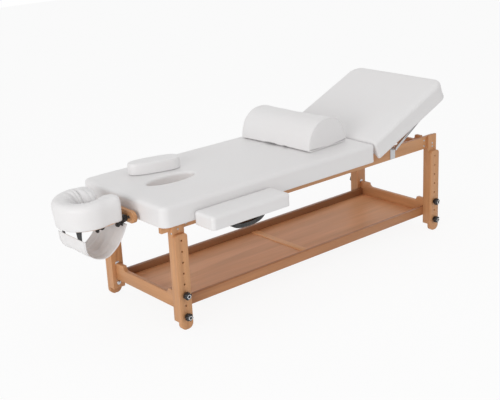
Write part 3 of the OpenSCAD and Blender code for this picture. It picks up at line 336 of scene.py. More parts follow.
materials = dict(
    postNear=beech("beechPostNear", "z", 0.3), postFar=beech("beechPostFar", "z", 1.7),
    legNear=beech("beechLegNear", "z", 2.9), legFar=beech("beechLegFar", "z", 4.1),
    beam=beech("beechBeam", "x", 0.9), bar=beech("beechBar", "y", 5.3),
    # The far shelf rail's beech carries painted shade
    shadedFarRail=beech("beechFarRailPaintedShade", "x", 6.1, shadedRailLight, shadedRailDark),
    nearRail=beech("beechNearRail", "x", 7.1, nearLight, nearDark),
    batten=beech("beechBatten", "y", 7.7, battenLight, battenDark),
    cradle=beech("beechCradle", "y", 8.2), backRim=beech("beechBackRim", "back", 9.4),
    shelf=plywood("plywoodShelf", "x", 3.3, 0.45, Bands=0.75), deck=plywood("plywoodDeck", "x", 2.3, 0.45),
    platform=plywood("plywoodPlatform", "y", 4.6, 0.6),
    vinyl=makeMaterial("whiteVinyl", "vinyl", bump=0.12, bumpDistance=0.0004, Color=vinylWhite, Warm=vinylWarm,
                       shader={"Coat Weight": 0.10, "Coat Roughness": 0.30, "Sheen Weight": 0.05}),
    thread=makeMaterial("whiteThread", "webbing", bump=0.2, Color=threadWhite, Thread=0.0008),
    steel=metal("brightSteel", steelGray, 0.32, 0.05), chrome=metal("polishedSteel", chromeGray, 0.16, 0.02),
    aluminium=metal("bareAluminium", aluminiumGray, 0.36, 0.06),
    plastic=makeMaterial("blackPlastic", "moulded", bump=0.15, bumpDistance=0.0002, Color=plasticBlack,
                         Rough=0.38),
    paint=makeMaterial("blackPaint", "moulded", bump=0.08, bumpDistance=0.0002, Color=paintBlack, Rough=0.30),
    webbing=makeMaterial("blackWebbing", "webbing", bump=0.5, uvMap=True, Color=webbingBlack, Thread=0.0016),
)
print("stage: materials")


# Meshes
def linkPiece(name, mesh):
    piece = bpy.data.objects.new(name, mesh)
    bpy.context.scene.collection.objects.link(piece)
    return piece


def finishPiece(piece, body, material=None, stands=()):
    if material:
        piece.data.materials.clear()
        piece.data.materials.append(materials[material])
    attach(piece, body)
    if stands:
        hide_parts(*stands)
    return piece


def outward(piece):
    shape = bmesh.new()
    shape.from_mesh(piece.data)
    bmesh.ops.recalc_face_normals(shape, faces=shape.faces)
    shape.to_mesh(piece.data)
    shape.free()
    piece.data.update()


# Skin through closed rings of equal count; the ends are closed by fans, or ring to ring with wrap
def loft(name, rings, wrap=False):
    rings = np.asarray(rings, float)
    ringCount, around = rings.shape[:2]
    points = rings.reshape(-1, 3)
    steps = ringCount if wrap else ringCount - 1
    i = np.arange(around)
    nextI = (i + 1) % around
    faces = []
    for j in range(steps):
        low, high = j * around, (j + 1) % ringCount * around
        faces += np.stack([low + i, low + nextI, high + nextI, high + i], 1).tolist()
    if not wrap:
        centres = [rings[0].mean(0), rings[-1].mean(0)]
        points = np.vstack([points, centres])
        first, last = len(points) - 2, len(points) - 1
        top = (ringCount - 1) * around
        faces += [[first, int(b), int(a)] for a, b in zip(i, nextI)]
        faces += [[last, top + int(a), top + int(b)] for a, b in zip(i, nextI)]
    mesh = bpy.data.meshes.new(name)
    mesh.from_pydata(points.tolist(), [], faces)
    mesh.shade_smooth()
    piece = linkPiece(name, mesh)
    outward(piece)
    return piece


def moved(points, turn, origin):
    return points @ np.array(turn.to_3x3()).T + np.array(origin)


def onTable(x, y, z):
    return tableZero + Vector((x, y, z))


def fromTable(points):
    return np.array(points) + np.array(tableZero)


def sharpen(piece, degrees):
    piece.data.set_sharp_from_angle(angle=math.radians(degrees))


def fullTurn(count):
    return np.linspace(0, 2 * math.pi, count, endpoint=False)


def roundRing(angles, reach, y):
    return np.stack([reach * np.cos(angles), np.full(len(angles), y), reach * np.sin(angles)], 1)


def atHeight(flat, z):
    return np.column_stack([flat, np.full(len(flat), z)])


def unit(rows):
    return rows / np.linalg.norm(rows, axis=1)[:, None]


def headings(line):
    return unit(np.gradient(line, axis=0))


# Smooth curve between p1 and p2, its neighbours p0 and p3 giving the direction
def curvePoint(p0, p1, p2, p3, t):
    return 0.5 * (2 * p1 + (p2 - p0) * t + (2 * p0 - 5 * p1 + 4 * p2 - p3) * t * t
                  + (3 * p1 - p0 - 3 * p2 + p3) * t ** 3)


# Modifiers made into plain mesh
def settle(piece):
    mesh = bpy.data.meshes.new_from_object(piece.evaluated_get(bpy.context.evaluated_depsgraph_get()))
    piece.modifiers.clear()
    piece.data = mesh
    return piece


def tilt(angle):
    return Matrix.Rotation(-angle, 4, "Y")


# Pads. A pad's outline has corners of two radii; rings of it are moved in by a distance
padShape = dict(leastRadius=0.0015, topBand=0.012, cornerReach=0.0045, leastCorner=0.02, puckerHeight=0.062,
                foldReach=0.0145, foldSide=0.024, foldSlope=0.02, skirtEnd=0.0005)


def outlineRing(pad, inset, z):
    x0, x1, half = pad["x0"] + inset, pad["x1"] - inset, pad["half"] - inset
    ra, rb = (max(pad[key] - inset, padShape["leastRadius"]) for key in ("headRadius", "footRadius"))
    corners = [(x1 - rb, half - rb, rb, 0), (x0 + ra, half - ra, ra, 1), (x0 + ra, ra - half, ra, 2),
               (x1 - rb, rb - half, rb, 3)]
    arcs, ring = [], []
    for cx, cy, r, turn in corners:
        angles = (turn + np.linspace(0, 1, pad["arcSteps"])) * quarter
        arcs.append(np.stack([cx + r * np.cos(angles), cy + r * np.sin(angles)], 1))
    for k, arc in enumerate(arcs):
        start, end = arc[-1], arcs[(k + 1) % 4][0]
        steps = pad["crossSteps" if k % 2 else "longSteps"]
        ring += [arc, start + (end - start) * np.linspace(0, 1, steps + 2)[1:-1, None]]
    return atHeight(np.vstack(ring), z)


def ovalRing(hole, guide, grow, z):
    centre = np.array([hole["x"], hole["y"]])
    angles = np.arctan2(guide[:, 1] - centre[1], guide[:, 0] - centre[0])
    a, b = hole["length"] / 2 + grow, hole["width"] / 2 + grow
    radius = a * b / np.sqrt((b * np.cos(angles)) ** 2 + (a * np.sin(angles)) ** 2)
    return atHeight(centre + radius[:, None] * np.stack([np.cos(angles), np.sin(angles)], 1), z)


# Side and rounded edge of a pad as pairs of inset and height, from the hem upwards
def edgeProfile(pad):
    z0, top, r, rise, run, hem, tuck = (pad[k] for k in ("low", "top", "edge", "rise", "run", "hem", "tuck"))
    shoulder = top - rise - r
    profile = [(hem * (1 - math.sin(a)), z0 + hem * (1 - math.cos(a))) for a in np.linspace(0, quarter, 4)]
    profile += [(tuck * math.sin(math.pi * s), z0 + hem + (shoulder - z0 - hem) * s)
                for s in np.linspace(0, 1, pad["sideSteps"] + 1)[1:-1]]
    profile += [(r * (1 - math.cos(a)), shoulder + r * math.sin(a)) for a in np.linspace(0, quarter, 9)]
    return profile + [(r + (run - r) * s, top - rise + rise * (1 - (1 - s) ** 2)) for s in between(0, 1, 5)]


def between(first, last, steps, power=1.0):
    shares = np.linspace(0, 1, steps + 1)[1:] ** power
    return [first + (last - first) * s for s in shares]


# Slow waves of stuffed foam: low at the edges, never the same twice along the pad
def foamWaves(points, depth, size):
    x, y = points.T[:2] / size
    wave = np.sin(1.7 * x + 0.6 * y + 0.4) * np.sin(1.3 * y - 0.5 * x + 1.1)
    return (wave + 0.5 * np.sin(3.1 * x + 2.3 * y + 2.0)) * depth * 0.6


mainLow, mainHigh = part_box("main_cushion")
tableZero = Vector((mainLow.x, (mainLow.y + mainHigh.y) / 2, 0))
level = Matrix.Identity(4)


# Pad over a deck: cover, rounded edge and crown outside, a hollow for deck and rim below
def deckPad(name, pad, turn, origin):
    hole, top, under = pad.get("hole"), pad["top"], pad["under"]
    rings = [outlineRing(pad, d, z) for d, z in edgeProfile(pad)]
    inner, rim = rings[-1], outlineRing(pad, pad["skirt"], under)
    skirt = [outlineRing(pad, pad["skirt"], z) for z in between(under, pad["low"] + padShape["skirtEnd"], 4)]
    if hole:
        r, dipped = hole["edge"], top - hole["dip"]
        goal = ovalRing(hole, inner, r, dipped)
        for s in between(0, 1, pad["topSteps"], 0.85):
            ring = inner + (goal - inner) * s
            ring[:, 2] = top - hole["dip"] * s ** 6
            rings.append(ring)
        for a in np.linspace(0, quarter, 7)[1:]:
            rings.append(ovalRing(hole, inner, r * (1 - math.sin(a)), dipped - r * (1 - math.cos(a))))
        rings += [ovalRing(hole, inner, 0, z) for z in between(dipped - r, hole["low"], 7)]
        rings += [ovalRing(hole, inner, hole["lining"], z) for z in (hole["low"], under)]
        last = rings[-1]
        rings += [last + (rim - last) * s for s in (0.33, 0.66, 1)] + skirt
    else:
        centre, middle = inner.mean(0), rim.mean(0)
        for s in between(1, 0.03, pad["topSteps"]):
            ring = centre + (inner - centre) * s
            ring[:, 2] = top
            rings.append(ring)
        rings = [middle + (rim - middle) * s for s in (0.03, 0.5)] + [rim] + skirt + rings
    rings = np.array(rings)
    shapePad(rings.reshape(-1, 3), pad)
    return loft(name, moved(rings, turn, origin), wrap=bool(hole))


# Soft waves on top, puckers in the corners of the cover and its raised hem at the fold
def shapePad(points, pad):
    s, (x, y, z) = padShape, points.T
    top, low = pad["top"], pad["low"]
    onTop = np.clip((z - (top - s["topBand"])) / s["topBand"], 0, 1)
    points[:, 2] += foamWaves(points, pad["waves"], pad["waveSize"]) * onTop - pad["waves"] * 0.4 * onTop
    for end, outwards, key in (("x0", 1, "headRadius"), ("x1", -1, "footRadius")):
        r = pad[key]
        for side in (-1, 1):
            dx, dy = x - (pad[end] + outwards * r), y - side * (pad["half"] - r)
            span, angle = np.hypot(dx, dy), np.arctan2(dy, dx)
            inCorner = (dx * outwards < 0) & (dy * side > 0) & (span > r - s["cornerReach"])
            inCorner = inCorner & (r > s["leastCorner"])
            depth = np.clip(1 - (z - low) / s["puckerHeight"], 0, 1) ** 1.5 * pad["pucker"]
            depth = depth * np.abs(np.sin(2 * angle)) ** 0.5
            shift = -depth * (0.5 + 0.5 * np.sin(angle * pad["puckers"])) * inCorner / np.maximum(span, 1e-6)
            points[:, :2] += np.stack([shift * dx, shift * dy], 1)
    if "foldHem" in pad:
        toFold = pad["x1"] - x if pad["foldSide"] > 0 else x - pad["x0"]
        raised = (toFold < s["foldReach"]) & (np.abs(y) < pad["half"] - s["foldSide"]) & (z < pad["foldHem"])
        points[raised, 2] = pad["foldHem"] + (z[raised] - low) * s["foldSlope"]


mainPad = dict(x0=0.0, x1=1.422, half=0.350, low=0.551, top=0.657, edge=0.020, rise=0.003, run=0.050,
               headRadius=0.042, footRadius=0.014, hem=0.004, tuck=0.0016, under=0.6013, skirt=0.008,
               arcSteps=13, longSteps=86, crossSteps=38, sideSteps=9, topSteps=40, waves=0.0008, waveSize=0.10,
               pucker=0.0016, puckers=26, foldHem=0.582, foldSide=1,
               hole=dict(x=0.308, y=0.004, length=0.285, width=0.118, edge=0.013, dip=0.003, low=0.586,
                         lining=0.005))
backPad = dict(x0=0.004, x1=0.645, half=0.350, low=-0.087, top=0.019, edge=0.020, rise=0.003, run=0.050,
               headRadius=0.014, footRadius=0.072, hem=0.004, tuck=0.0016, under=-0.0367, skirt=0.008,
               arcSteps=13, longSteps=44, crossSteps=40, sideSteps=9, topSteps=26, waves=0.0010, waveSize=0.11,
               pucker=0.0016, puckers=26, foldHem=-0.056, foldSide=-1)
armPad = dict(x0=-0.243, x1=0.243, half=0.074, low=0.534, top=0.603, edge=0.016, rise=0.002, run=0.040,
              headRadius=0.020, footRadius=0.020, hem=0.003, tuck=0.0012, under=0.5483, skirt=0.008,
              arcSteps=9, longSteps=48, crossSteps=12, sideSteps=7, topSteps=14, waves=0.0006, waveSize=0.07,
              pucker=0.0012, puckers=22)
foldPlace = tableZero + Vector((1.426, 0, 0.638))
armMiddle = tableZero + Vector((0.415, -0.426, 0))

for name, pad, turn, origin, body, node, fill in (
        ("mainPad", mainPad, level, tableZero, "frame", "main_cushion", 1.0),
        ("backPad", backPad, tilt(backTilt), foldPlace, "back_section", "back_cushion", 1.0),
        ("armrestPad", armPad, level, armMiddle, "armrest", "armrest_cushion", 0.95)):
    padPiece = finishPiece(deckPad(name, pad, turn, origin), body, "vinyl", [node])
print("stage: deck pads")


def power(value, exponent):
    return np.sign(value) * np.abs(value) ** exponent


# Plug of the face opening, lying on the table: one round end, one squarer
plug = dict(place=(0.325, 0.170, 0.6572), turn=-14, length=0.279, width=0.108, height=0.063, roundEnd=0.92,
            squareEnd=0.50, sidePower=0.78, edge=0.009, steps=96, seamHeights=(0.010, 0.030, 0.053),
            seamDepth=0.0012, seamReach=0.0028, swell=0.0008, crown=0.002)


def plugRing(s, inset, z):
    a = fullTurn(s["steps"])
    exponent = np.where(np.cos(a) > 0, s["squareEnd"], s["roundEnd"])
    half, wide = s["length"] / 2 - inset, s["width"] / 2 - inset
    x, y = half * power(np.cos(a), exponent), wide * power(np.sin(a), s["sidePower"])
    return np.stack([x, y, np.full(len(a), z)], 1)


def makePlug(s):
    r, high = s["edge"], s["height"]
    upper, edge = high - s["crown"] - r, np.linspace(0, quarter, 7)
    sides = [(r * (1 - math.sin(a)), r * (1 - math.cos(a))) for a in edge]
    sides += [(-s["swell"] * math.sin(math.pi * (z - r) / (high - 2 * r)), z) for z in between(r, upper, 9)]
    sides += [(r * (1 - math.cos(a)), upper + r * math.sin(a)) for a in edge[1:]]
    rings = [plugRing(s, r, 0) * (k, k, 1) for k in (0.04, 0.35, 0.7, 0.93)]
    for d, z in sides:
        near = max(0, 1 - min(abs(z - at) for at in s["seamHeights"]) / s["seamReach"])
        rings.append(plugRing(s, d + s["seamDepth"] * near, z))
    rings += [plugRing(s, r, high - s["crown"] * k ** 3) * (k, k, 1) for k in (0.93, 0.8, 0.6, 0.4, 0.2, 0.04)]
    turn = Matrix.Rotation(math.radians(s["turn"]), 4, "Z")
    return loft("plugPad", moved(np.array(rings), turn, onTable(*s["place"])))


plugPiece = finishPiece(makePlug(plug), "plug", "vinyl", ["face_plug"])


# Half-round bolster with piped ends
bolster = dict(place=(1.189, 0.047, 0.6572), turn=4, length=0.510, width=0.300, height=0.160, power=0.86,
               edge=0.010, arc=64, flat=18, along=40, waist=0.0035, bulge=0.005, pipe=0.0032, baseRound=0.010,
               baseReach=0.02, capMiddle=0.05, capSteps=(0.04, 0.3, 0.55, 0.75, 0.88),
               ripples=((0.0006, 46, 0), (0.0004, 91, 1)), pipeAt=0.32, pipeInset=0.22)


def bolsterRing(s, t, inset):
    a = np.linspace(0, math.pi, s["arc"])
    half, high = s["width"] / 2 - inset, s["height"] - inset
    floor = np.linspace(-half, half, s["flat"] + 2)[1:-1]
    x = np.concatenate([half * power(np.cos(a), s["power"]), floor])
    z = np.concatenate([high * power(np.sin(a), s["power"]), np.zeros(len(floor))])
    lift = s["baseRound"] * np.clip(1 - (half - np.abs(x)) / s["baseReach"], 0, 1) ** 2
    return np.stack([x, np.full(len(x), t), np.maximum(z, lift * (z < s["baseReach"]) + inset * 0.6)], 1)


def bolsterTurn(s):
    return Matrix.Rotation(math.radians(s["turn"]), 4, "Z"), onTable(*s["place"])


def makeBolster(s):
    half, e, middle = s["length"] / 2, s["edge"], np.array((0, 0, s["height"] * s["capMiddle"]))
    cap, body = [], []
    for k in s["capSteps"]:
        ring = (bolsterRing(s, 0, e) - middle) * (k, 1, k) + middle
        ring[:, 1] = -half - s["bulge"] * (1 - k * k) * 0.5
        cap.append(ring)
    for a in np.linspace(0, quarter, 5):
        cap.append(bolsterRing(s, -half + e * (1 - math.cos(a)), e * (1 - math.sin(a))))
    for t in np.linspace(-half + e, half - e, s["along"])[1:-1]:
        ripple = sum(high * math.sin(t * pace + start) for high, pace, start in s["ripples"])
        body.append(bolsterRing(s, t, (s["waist"] + ripple) * (1 - (abs(t) / half) ** 2)))
    rings = cap + body + [ring * (1, -1, 1) for ring in cap[::-1]]
    return loft("bolsterPad", moved(np.array(rings), *bolsterTurn(s)))


# Round cord swept along a closed or open path of points
def tube(name, path, radius, sides=8, closed=True, flat=1.0):
    ahead = unit(np.roll(path, -1, 0) - np.roll(path, 1, 0)) if closed else headings(path)
    up = np.array([0, 0, 1.0]) if abs(ahead[0][2]) < 0.8 else np.array([0, 1.0, 0])
    rings, a = [], fullTurn(sides)
    for point, heading in zip(path, ahead):
        side = np.cross(heading, up)
        side /= np.linalg.norm(side)
        up = np.cross(side, heading)
        rings.append(point + radius * (np.cos(a)[:, None] * side + flat * np.sin(a)[:, None] * up))
    return loft(name, rings, wrap=closed)


bolsterPiece = finishPiece(makeBolster(bolster), "bolster_body", "vinyl", ["bolster"])


def makeBolsterPiping(s):
    for end, sign in (("Near", -1), ("Far", 1)):
        ring = bolsterRing(s, sign * (s["length"] / 2 - s["edge"] * s["pipeAt"]), s["edge"] * s["pipeInset"])
        ring[:, 2] = np.maximum(ring[:, 2], s["pipe"])
        piping = tube("bolsterPiping" + end, moved(ring, *bolsterTurn(s)), s["pipe"])
        finishPiece(piping, "bolster_body", "vinyl")


makeBolsterPiping(bolster)
print("stage: loose pads")


# Face cushion: a tall horseshoe roll, its top sloping into the opening in gathers
facePad = dict(place=(-0.203, 0, 0.575), tilt=3.5, nearEnd=0.119, farEnd=0.120, nearRound=0.022, farRound=0.046,
               droop=0.17, droopFrom=0.86, bendX=0.012, bendRadius=0.102, half=0.050, around=84, armSteps=20,
               bendSteps=110, gathers=23, gatherDepth=0.0100, hemGathers=92, hemDepth=0.0014,
               creases=((0.775, 0.009, 0.012), (0.870, 0.011, 0.016), (0.965, 0.012, 0.008)),
               waves=((0.0016, 9, 0.5), (0.0010, 19, 2)), armStart=-0.010, armReach=0.090, waist=0.050,
               endHeight=0.66, slopeFrom=0.030, slopeSpan=0.05, slopeLow=0.020, slopeRise=0.045,
               pullAbove=0.060, sagAbove=0.040, sideFrom=0.03, hemTop=0.018, hemFrom=0.043)
faceSection = ((-0.030, 0.001), (0.034, 0.001), (0.0405, -0.002), (0.0420, -0.0075), (0.0455, -0.0090),
               (0.0485, -0.0060), (0.0500, 0.004), (0.0515, 0.030), (0.0545, 0.066), (0.0545, 0.088),
               (0.0505, 0.101), (0.0425, 0.1110), (0.0300, 0.1160), (0.0120, 0.1165), (-0.0080, 0.1125),
               (-0.0280, 0.1010), (-0.0460, 0.0800), (-0.0580, 0.0560), (-0.0630, 0.0310), (-0.0550, 0.0090))
armSection = faceSection[:-7] + ((0.0090, 0.1160), (-0.0140, 0.1135), (-0.0360, 0.1090), (-0.0580, 0.1000),
                                 (-0.0760, 0.0840), (-0.0860, 0.0560), (-0.0830, 0.0140))


def roundedLoop(points, count):
    points, loops = np.array(points), []
    for k in range(len(points)):
        four = np.roll(points, 1 - k, 0)[:4]
        loops += [curvePoint(*four, t) for t in np.linspace(0, 1, 12, endpoint=False)]
    closed = np.array(loops + loops[:1])
    length = np.concatenate([[0], np.cumsum(np.linalg.norm(np.diff(closed, axis=0), axis=1))])
    wanted = np.linspace(0, length[-1], count, endpoint=False)
    return np.stack([np.interp(wanted, length, closed[:, k]) for k in (0, 1)], 1)


def facePadStations(s):
    def arm(side, end, r):
        line = [(end - r + r * math.sin(a), 1 - (1 - math.cos(a)) * r / s["half"])
                for a in np.linspace(quarter, 0, 10)[:-1]]
        line += [(x, 1) for x in np.linspace(end - r, s["bendX"], s["armSteps"])[:-1]]
        return [((x, side * s["bendRadius"]), (side, 0), share) for x, share in line]

    bend = [((s["bendX"] + s["bendRadius"] * math.cos(a), s["bendRadius"] * math.sin(a)),
             (math.sin(a), -math.cos(a)), 1) for a in np.linspace(-quarter, -3 * quarter, s["bendSteps"])]
    return arm(-1, s["nearEnd"], s["nearRound"]) + bend + arm(1, s["farEnd"], s["farRound"])[::-1]


def makeFacePad(s):
    bendSection, endSection = roundedLoop(faceSection, s["around"]), roundedLoop(armSection, s["around"])
    stations, rings, waist = facePadStations(s), [], s["waist"]
    for k, ((x, y), (dx, dy), share) in enumerate(stations):
        t = k / (len(stations) - 1)
        wander = 0.9 * math.sin(11 * t + 0.7) + 0.6 * math.sin(23 * t + 2)
        crease = (0.5 + 0.5 * math.sin(2 * math.pi * s["gathers"] * t + wander)) ** 2.6
        strength = 0.45 + 0.55 * math.sin(7 * t + 1.3) ** 2
        strength *= math.sin(math.pi * min(max(t, 0.02), 0.98)) ** 0.5
        hem = 0.5 + 0.5 * math.sin(2 * math.pi * s["hemGathers"] * t + 0.8 * math.sin(31 * t))
        deep = sum(d * math.exp(-((t - at) / w) ** 2) for at, w, d in s["creases"])
        sag = s["droop"] * max(0, (t - s["droopFrom"]) / (1 - s["droopFrom"])) ** 1.4
        swell = sum(high * math.sin(pace * t + start) for high, pace, start in s["waves"])
        reach = min(max((x - s["bendX"] - s["armStart"]) / s["armReach"], 0), 1)
        ring = []
        for u, w in bendSection + (endSection - bendSection) * reach * reach * (3 - 2 * reach):
            slope = min(max((s["slopeFrom"] - u) / s["slopeSpan"], 0), 1)
            slope *= min(max((w - s["slopeLow"]) / s["slopeRise"], 0), 1)
            pull = (s["gatherDepth"] * strength * crease + deep) * slope
            up = waist + (w - waist) * (s["endHeight"] + (1 - s["endHeight"]) * share) if w > waist else w
            up -= pull * (0.9 if w > s["pullAbove"] else 0.3) + max(w - s["sagAbove"], 0) * sag
            side = u * share + pull * 0.5 * (u < 0) + swell * (u > s["sideFrom"]) * min(max(w, 0) / waist, 1)
            side -= s["hemDepth"] * hem * min(max(1 - w / s["hemTop"], 0), 1) * (u > s["hemFrom"])
            ring.append((x - dy * side, y + dx * side, up))
        rings.append(ring)
    return loft("facePad", moved(np.array(rings), tilt(math.radians(s["tilt"])), onTable(*s["place"])))


facePiece = finishPiece(makeFacePad(facePad), "face_pad", "vinyl", ["face_cushion"])
print("stage: face cushion")


# Hanging arm rest: a flat front, a round bottom and a rear that runs straight up to the board
slingLine = ((-0.286, 0.510), (-0.2848, 0.490), (-0.2830, 0.471), (-0.2765, 0.451), (-0.2645, 0.433),
             (-0.2365, 0.413), (-0.2060, 0.402), (-0.1780, 0.398), (-0.1500, 0.406), (-0.1230, 0.425),
             (-0.1000, 0.447), (-0.0735, 0.490), (-0.0505, 0.538))
sling = dict(half=0.121, thickness=0.0024, along=84, across=52, foldDepth=0.0030, folds=3, drawn=0.03,
             hemWidth=0.011, hemRaise=0.0005, stitches=113, stitchRaise=0.0001)


def smoothLine(points, count):
    points = np.array(points)
    padded = np.vstack([2 * points[0] - points[1], points, 2 * points[-1] - points[-2]])
    line = []
    for k in range(len(padded) - 3):
        line += [curvePoint(*padded[k:k + 4], t) for t in np.linspace(0, 1, 16, endpoint=False)]
    line = np.vstack([line, points[-1:]])
    length = np.concatenate([[0], np.cumsum(np.linalg.norm(np.diff(line, axis=0), axis=1))])
    wanted = np.linspace(0, length[-1], count)
    return np.stack([np.interp(wanted, length, line[:, k]) for k in range(points.shape[1])], 1), length[-1]


# Where the sling hangs freely it is drawn in a little and lies in folds
def slingForm(s, t):
    belly = math.sin(math.pi * t) ** 1.5
    half = s["half"] * (1 - s["drawn"] * belly)

    def fold(v):
        return s["foldDepth"] * belly * (math.cos(math.pi * s["folds"] * v + 0.6 + 3 * t)
                                         + 0.45 * math.cos(2.3 * math.pi * s["folds"] * v + 2))

    return half, fold


def makeSling(s):
    line, length = smoothLine(slingLine, s["along"])
    rings = []
    for k, (dx, dz) in enumerate(headings(line)):
        half, fold = slingForm(s, k / (s["along"] - 1))
        ring = []
        for side, off in ((1, 0.0), (-1, s["thickness"])):
            for v in np.linspace(-side, side, s["across"]):
                hem = s["hemRaise"] * math.exp(-((1 - abs(v)) * s["half"] / s["hemWidth"] - 1) ** 2 * 60)
                x, z = line[k] + np.array((-dz, dx)) * (off + fold(v) + side * hem)
                ring.append((x, v * half, z))
        rings.append(ring)
    piece = loft("slingSheet", fromTable(rings))
    print(f"stage: arm rest sheet {2 * s['half']:.3f} by {length:.3f} m")
    return piece, float(length)


def hang(piece):
    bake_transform(piece)


slingPiece, slingLength = makeSling(sling)
slingPiece.data.materials.append(materials["vinyl"])
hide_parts("arm_sling")
hang(slingPiece)


# Ends of a leg board: an upright prism with rounder corners, to be kept in common with the board
legEnds = dict(topRadius=0.019, footRadius=0.029, spare=0.0002, steps=12, over=0.004)


def endPrism(mesh, s):
    spots = np.array([v.co for v in mesh.vertices])
    (x0, y0, z0), (x1, y1, z1) = spots.min(0), spots.max(0)
    top, foot, ring = s["topRadius"], s["footRadius"], []
    for x, z, r, turn in ((x1, z1, top, 0), (x0, z1, top, 1), (x0, z0, foot, 2), (x1, z0, foot, 3)):
        cx, cz = x + (r if turn in (1, 2) else -r), z + (r if turn > 1 else -r)
        for a in (turn + np.linspace(0, 1, s["steps"])) * quarter:
            ring.append((cx + (r + s["spare"]) * math.cos(a), cz + (r + s["spare"]) * math.sin(a)))
    return loft("endPrism", [[(x, y, z) for x, z in ring] for y in (y0 - s["over"], y1 + s["over"])])


# Wood: each board is a copy of its CAD node with eased edges
easing = dict(width=0.0016, weld=1e-5, flat=0.5, segments=2, limit=40, sharp=32)


def easedCopy(node, width, s):
    mesh = nodes[node].data.copy()
    mesh.name = node + "Eased"
    shape = bmesh.new()
    shape.from_mesh(mesh)
    bmesh.ops.remove_doubles(shape, verts=shape.verts, dist=s["weld"])
    bmesh.ops.dissolve_limit(shape, angle_limit=math.radians(s["flat"]), verts=shape.verts, edges=shape.edges)
    shape.to_mesh(mesh)
    shape.free()
    if "custom_normal" in mesh.attributes:
        mesh.attributes.remove(mesh.attributes["custom_normal"])
    piece = linkPiece(node + "Eased", mesh)
    prism = endPrism(mesh, legEnds) if node.startswith("leg_board") else None
    if prism:
        common = piece.modifiers.new("ends", "BOOLEAN")
        common.operation, common.solver, common.object = "INTERSECT", "EXACT", prism
    bevel = piece.modifiers.new("ease", "BEVEL")
    bevel.width, bevel.segments = width, s["segments"]
    bevel.limit_method, bevel.angle_limit = "ANGLE", math.radians(s["limit"])
    bevel.use_clamp_overlap = True
    settle(piece)
    if prism:
        bpy.data.objects.remove(prism)
    piece.data.shade_smooth()
    sharpen(piece, s["sharp"])
    return piece


boards = dict(
    post_head_near="postNear", post_head_far="postFar", post_foot_near="postFar", post_foot_far="postNear",
    leg_board_head_near="legNear", leg_board_head_far="legFar", leg_board_foot_near="legFar",
    leg_board_foot_far="legNear", side_beam_near="beam", side_beam_far="beam", upper_crossbar_head="bar",
    upper_crossbar_foot="bar", lower_crossbar_head="bar", lower_crossbar_foot="bar", shelf_rail_near="nearRail",
    # shelf_rail_far takes the beech darkened with painted shade
    shelf_rail_far="shadedFarRail", shelf_batten="batten", cradle_board="cradle",
)
boardEase = dict(leg_board=0.0014, lower_crossbar=0.0018, shelf_batten=0.0012, cradle_board=0.0022)
for node, material in boards.items():
    width = next((ease for start, ease in boardEase.items() if node.startswith(start)), easing["width"])
    finishPiece(easedCopy(node, width, easing), bodyOf[node], material, [node])
print("stage: boards")


# Webbing straps: flat bands swept along a line, their weave laid along the band
def band(name, line, widths, s):
    line, length = smoothLine(line, s["along"])
    side, shares = np.array([0, 1.0, 0]), np.linspace(-1, 1, s["across"])
    rings, flat = [], []
    for k, (point, heading) in enumerate(zip(line, headings(line))):
        t = k / (len(line) - 1)
        normal = np.cross(heading, side)
        half = (widths[0] + (widths[1] - widths[0]) * t) / 2
        ring = []
        for face, across in ((1, shares), (-1, shares[::-1])):
            for v in across:
                thin = s["thickness"] / 2 * (1 if abs(v) < 1 else s["edgeShare"])
                ring.append(point + side * v * half + normal * face * thin)
                flat.append((t * length, v * half))
        rings.append(ring)
    piece = loft(name, fromTable(rings))
    layer = piece.data.uv_layers.new(name="UVMap")
    flat += [flat[0], flat[-1]]
    for loop in piece.data.loops:
        layer.data[loop.index].uv = flat[loop.vertex_index]
    return piece


straps = dict(thickness=0.0018, edgeShare=0.55, along=40, across=8, rearWidths=(0.024, 0.024),
              near=dict(y=-0.084, widths=(0.060, 0.034)), far=dict(y=0.082, widths=(0.034, 0.026)),
              front=((-0.276, 0.566), (-0.2885, 0.5635), (-0.2885, 0.548), (-0.2862, 0.528), (-0.2832, 0.510),
                     (-0.2812, 0.492)), lean=0.014,
              rear=((-0.0540, 0.5290), (-0.0510, 0.5500), (-0.0505, 0.5665), (-0.0580, 0.5735),
                    (-0.0655, 0.5665), (-0.0645, 0.5480), (-0.0590, 0.5250)))


def makeStraps(s):
    for name in ("near", "far"):
        strap = s[name]
        for part, widths, body, stands in (("front", strap["widths"], "platform", ["sling_straps"]),
                                           ("rear", s["rearWidths"], "cradle_arm_pair", [])):
            lean = s["lean"] * (part == "front") * np.sign(strap["y"])
            line = [(x, strap["y"] - lean * k / (len(s[part]) - 1), z) for k, (x, z) in enumerate(s[part])]
            piece = band(f"{name}Strap{part.title()}", line, widths, s)
            finishPiece(piece, body, "webbing", stands)


makeStraps(straps)


# Clamping lever: a knurled round hub, a neck and a smaller round end, turned about the rod. Steps of a disc
# are a share of the radius, less some eases, on one face or the other, and some eases further in
discSteps = ((0.03, 0, 0, 0), (0.6, 0, 0, 0), (1, 2.2, 0, 0), (1, 1, 0, 0.3), (1, 0, 0, 1), (1, 0, 1, -1),
             (1, 1, 1, -0.3), (1, 2.2, 1, 0), (0.62, 0, 1, 0), (0.55, 0, 1, -1), (0.03, 0, 1, -1))
ribbedFrom = 0.7
sharpAngles = dict(lever=38, lathe=40)


def discRings(radius, y0, y1, count, ease=0.0012, ribs=0, ribDepth=0.0):
    angles = fullTurn(count)
    outer = radius - ribDepth * (0.5 - 0.5 * np.cos(angles * ribs)) if ribs else np.full(count, radius)
    rings = []
    for share, inset, face, eases in discSteps:
        r, y = radius * share - ease * inset, (y1 if face else y0) + ease * eases
        reach = np.minimum(outer, r) if r > radius * ribbedFrom else np.full(count, r)
        rings.append(roundRing(angles, reach, y))
    return np.array(rings)


def disc(name, centre, radius, y0, y1, count=72, **more):
    return loft(name, discRings(radius, y0, y1, count, **more) + np.array(onTable(*centre)))


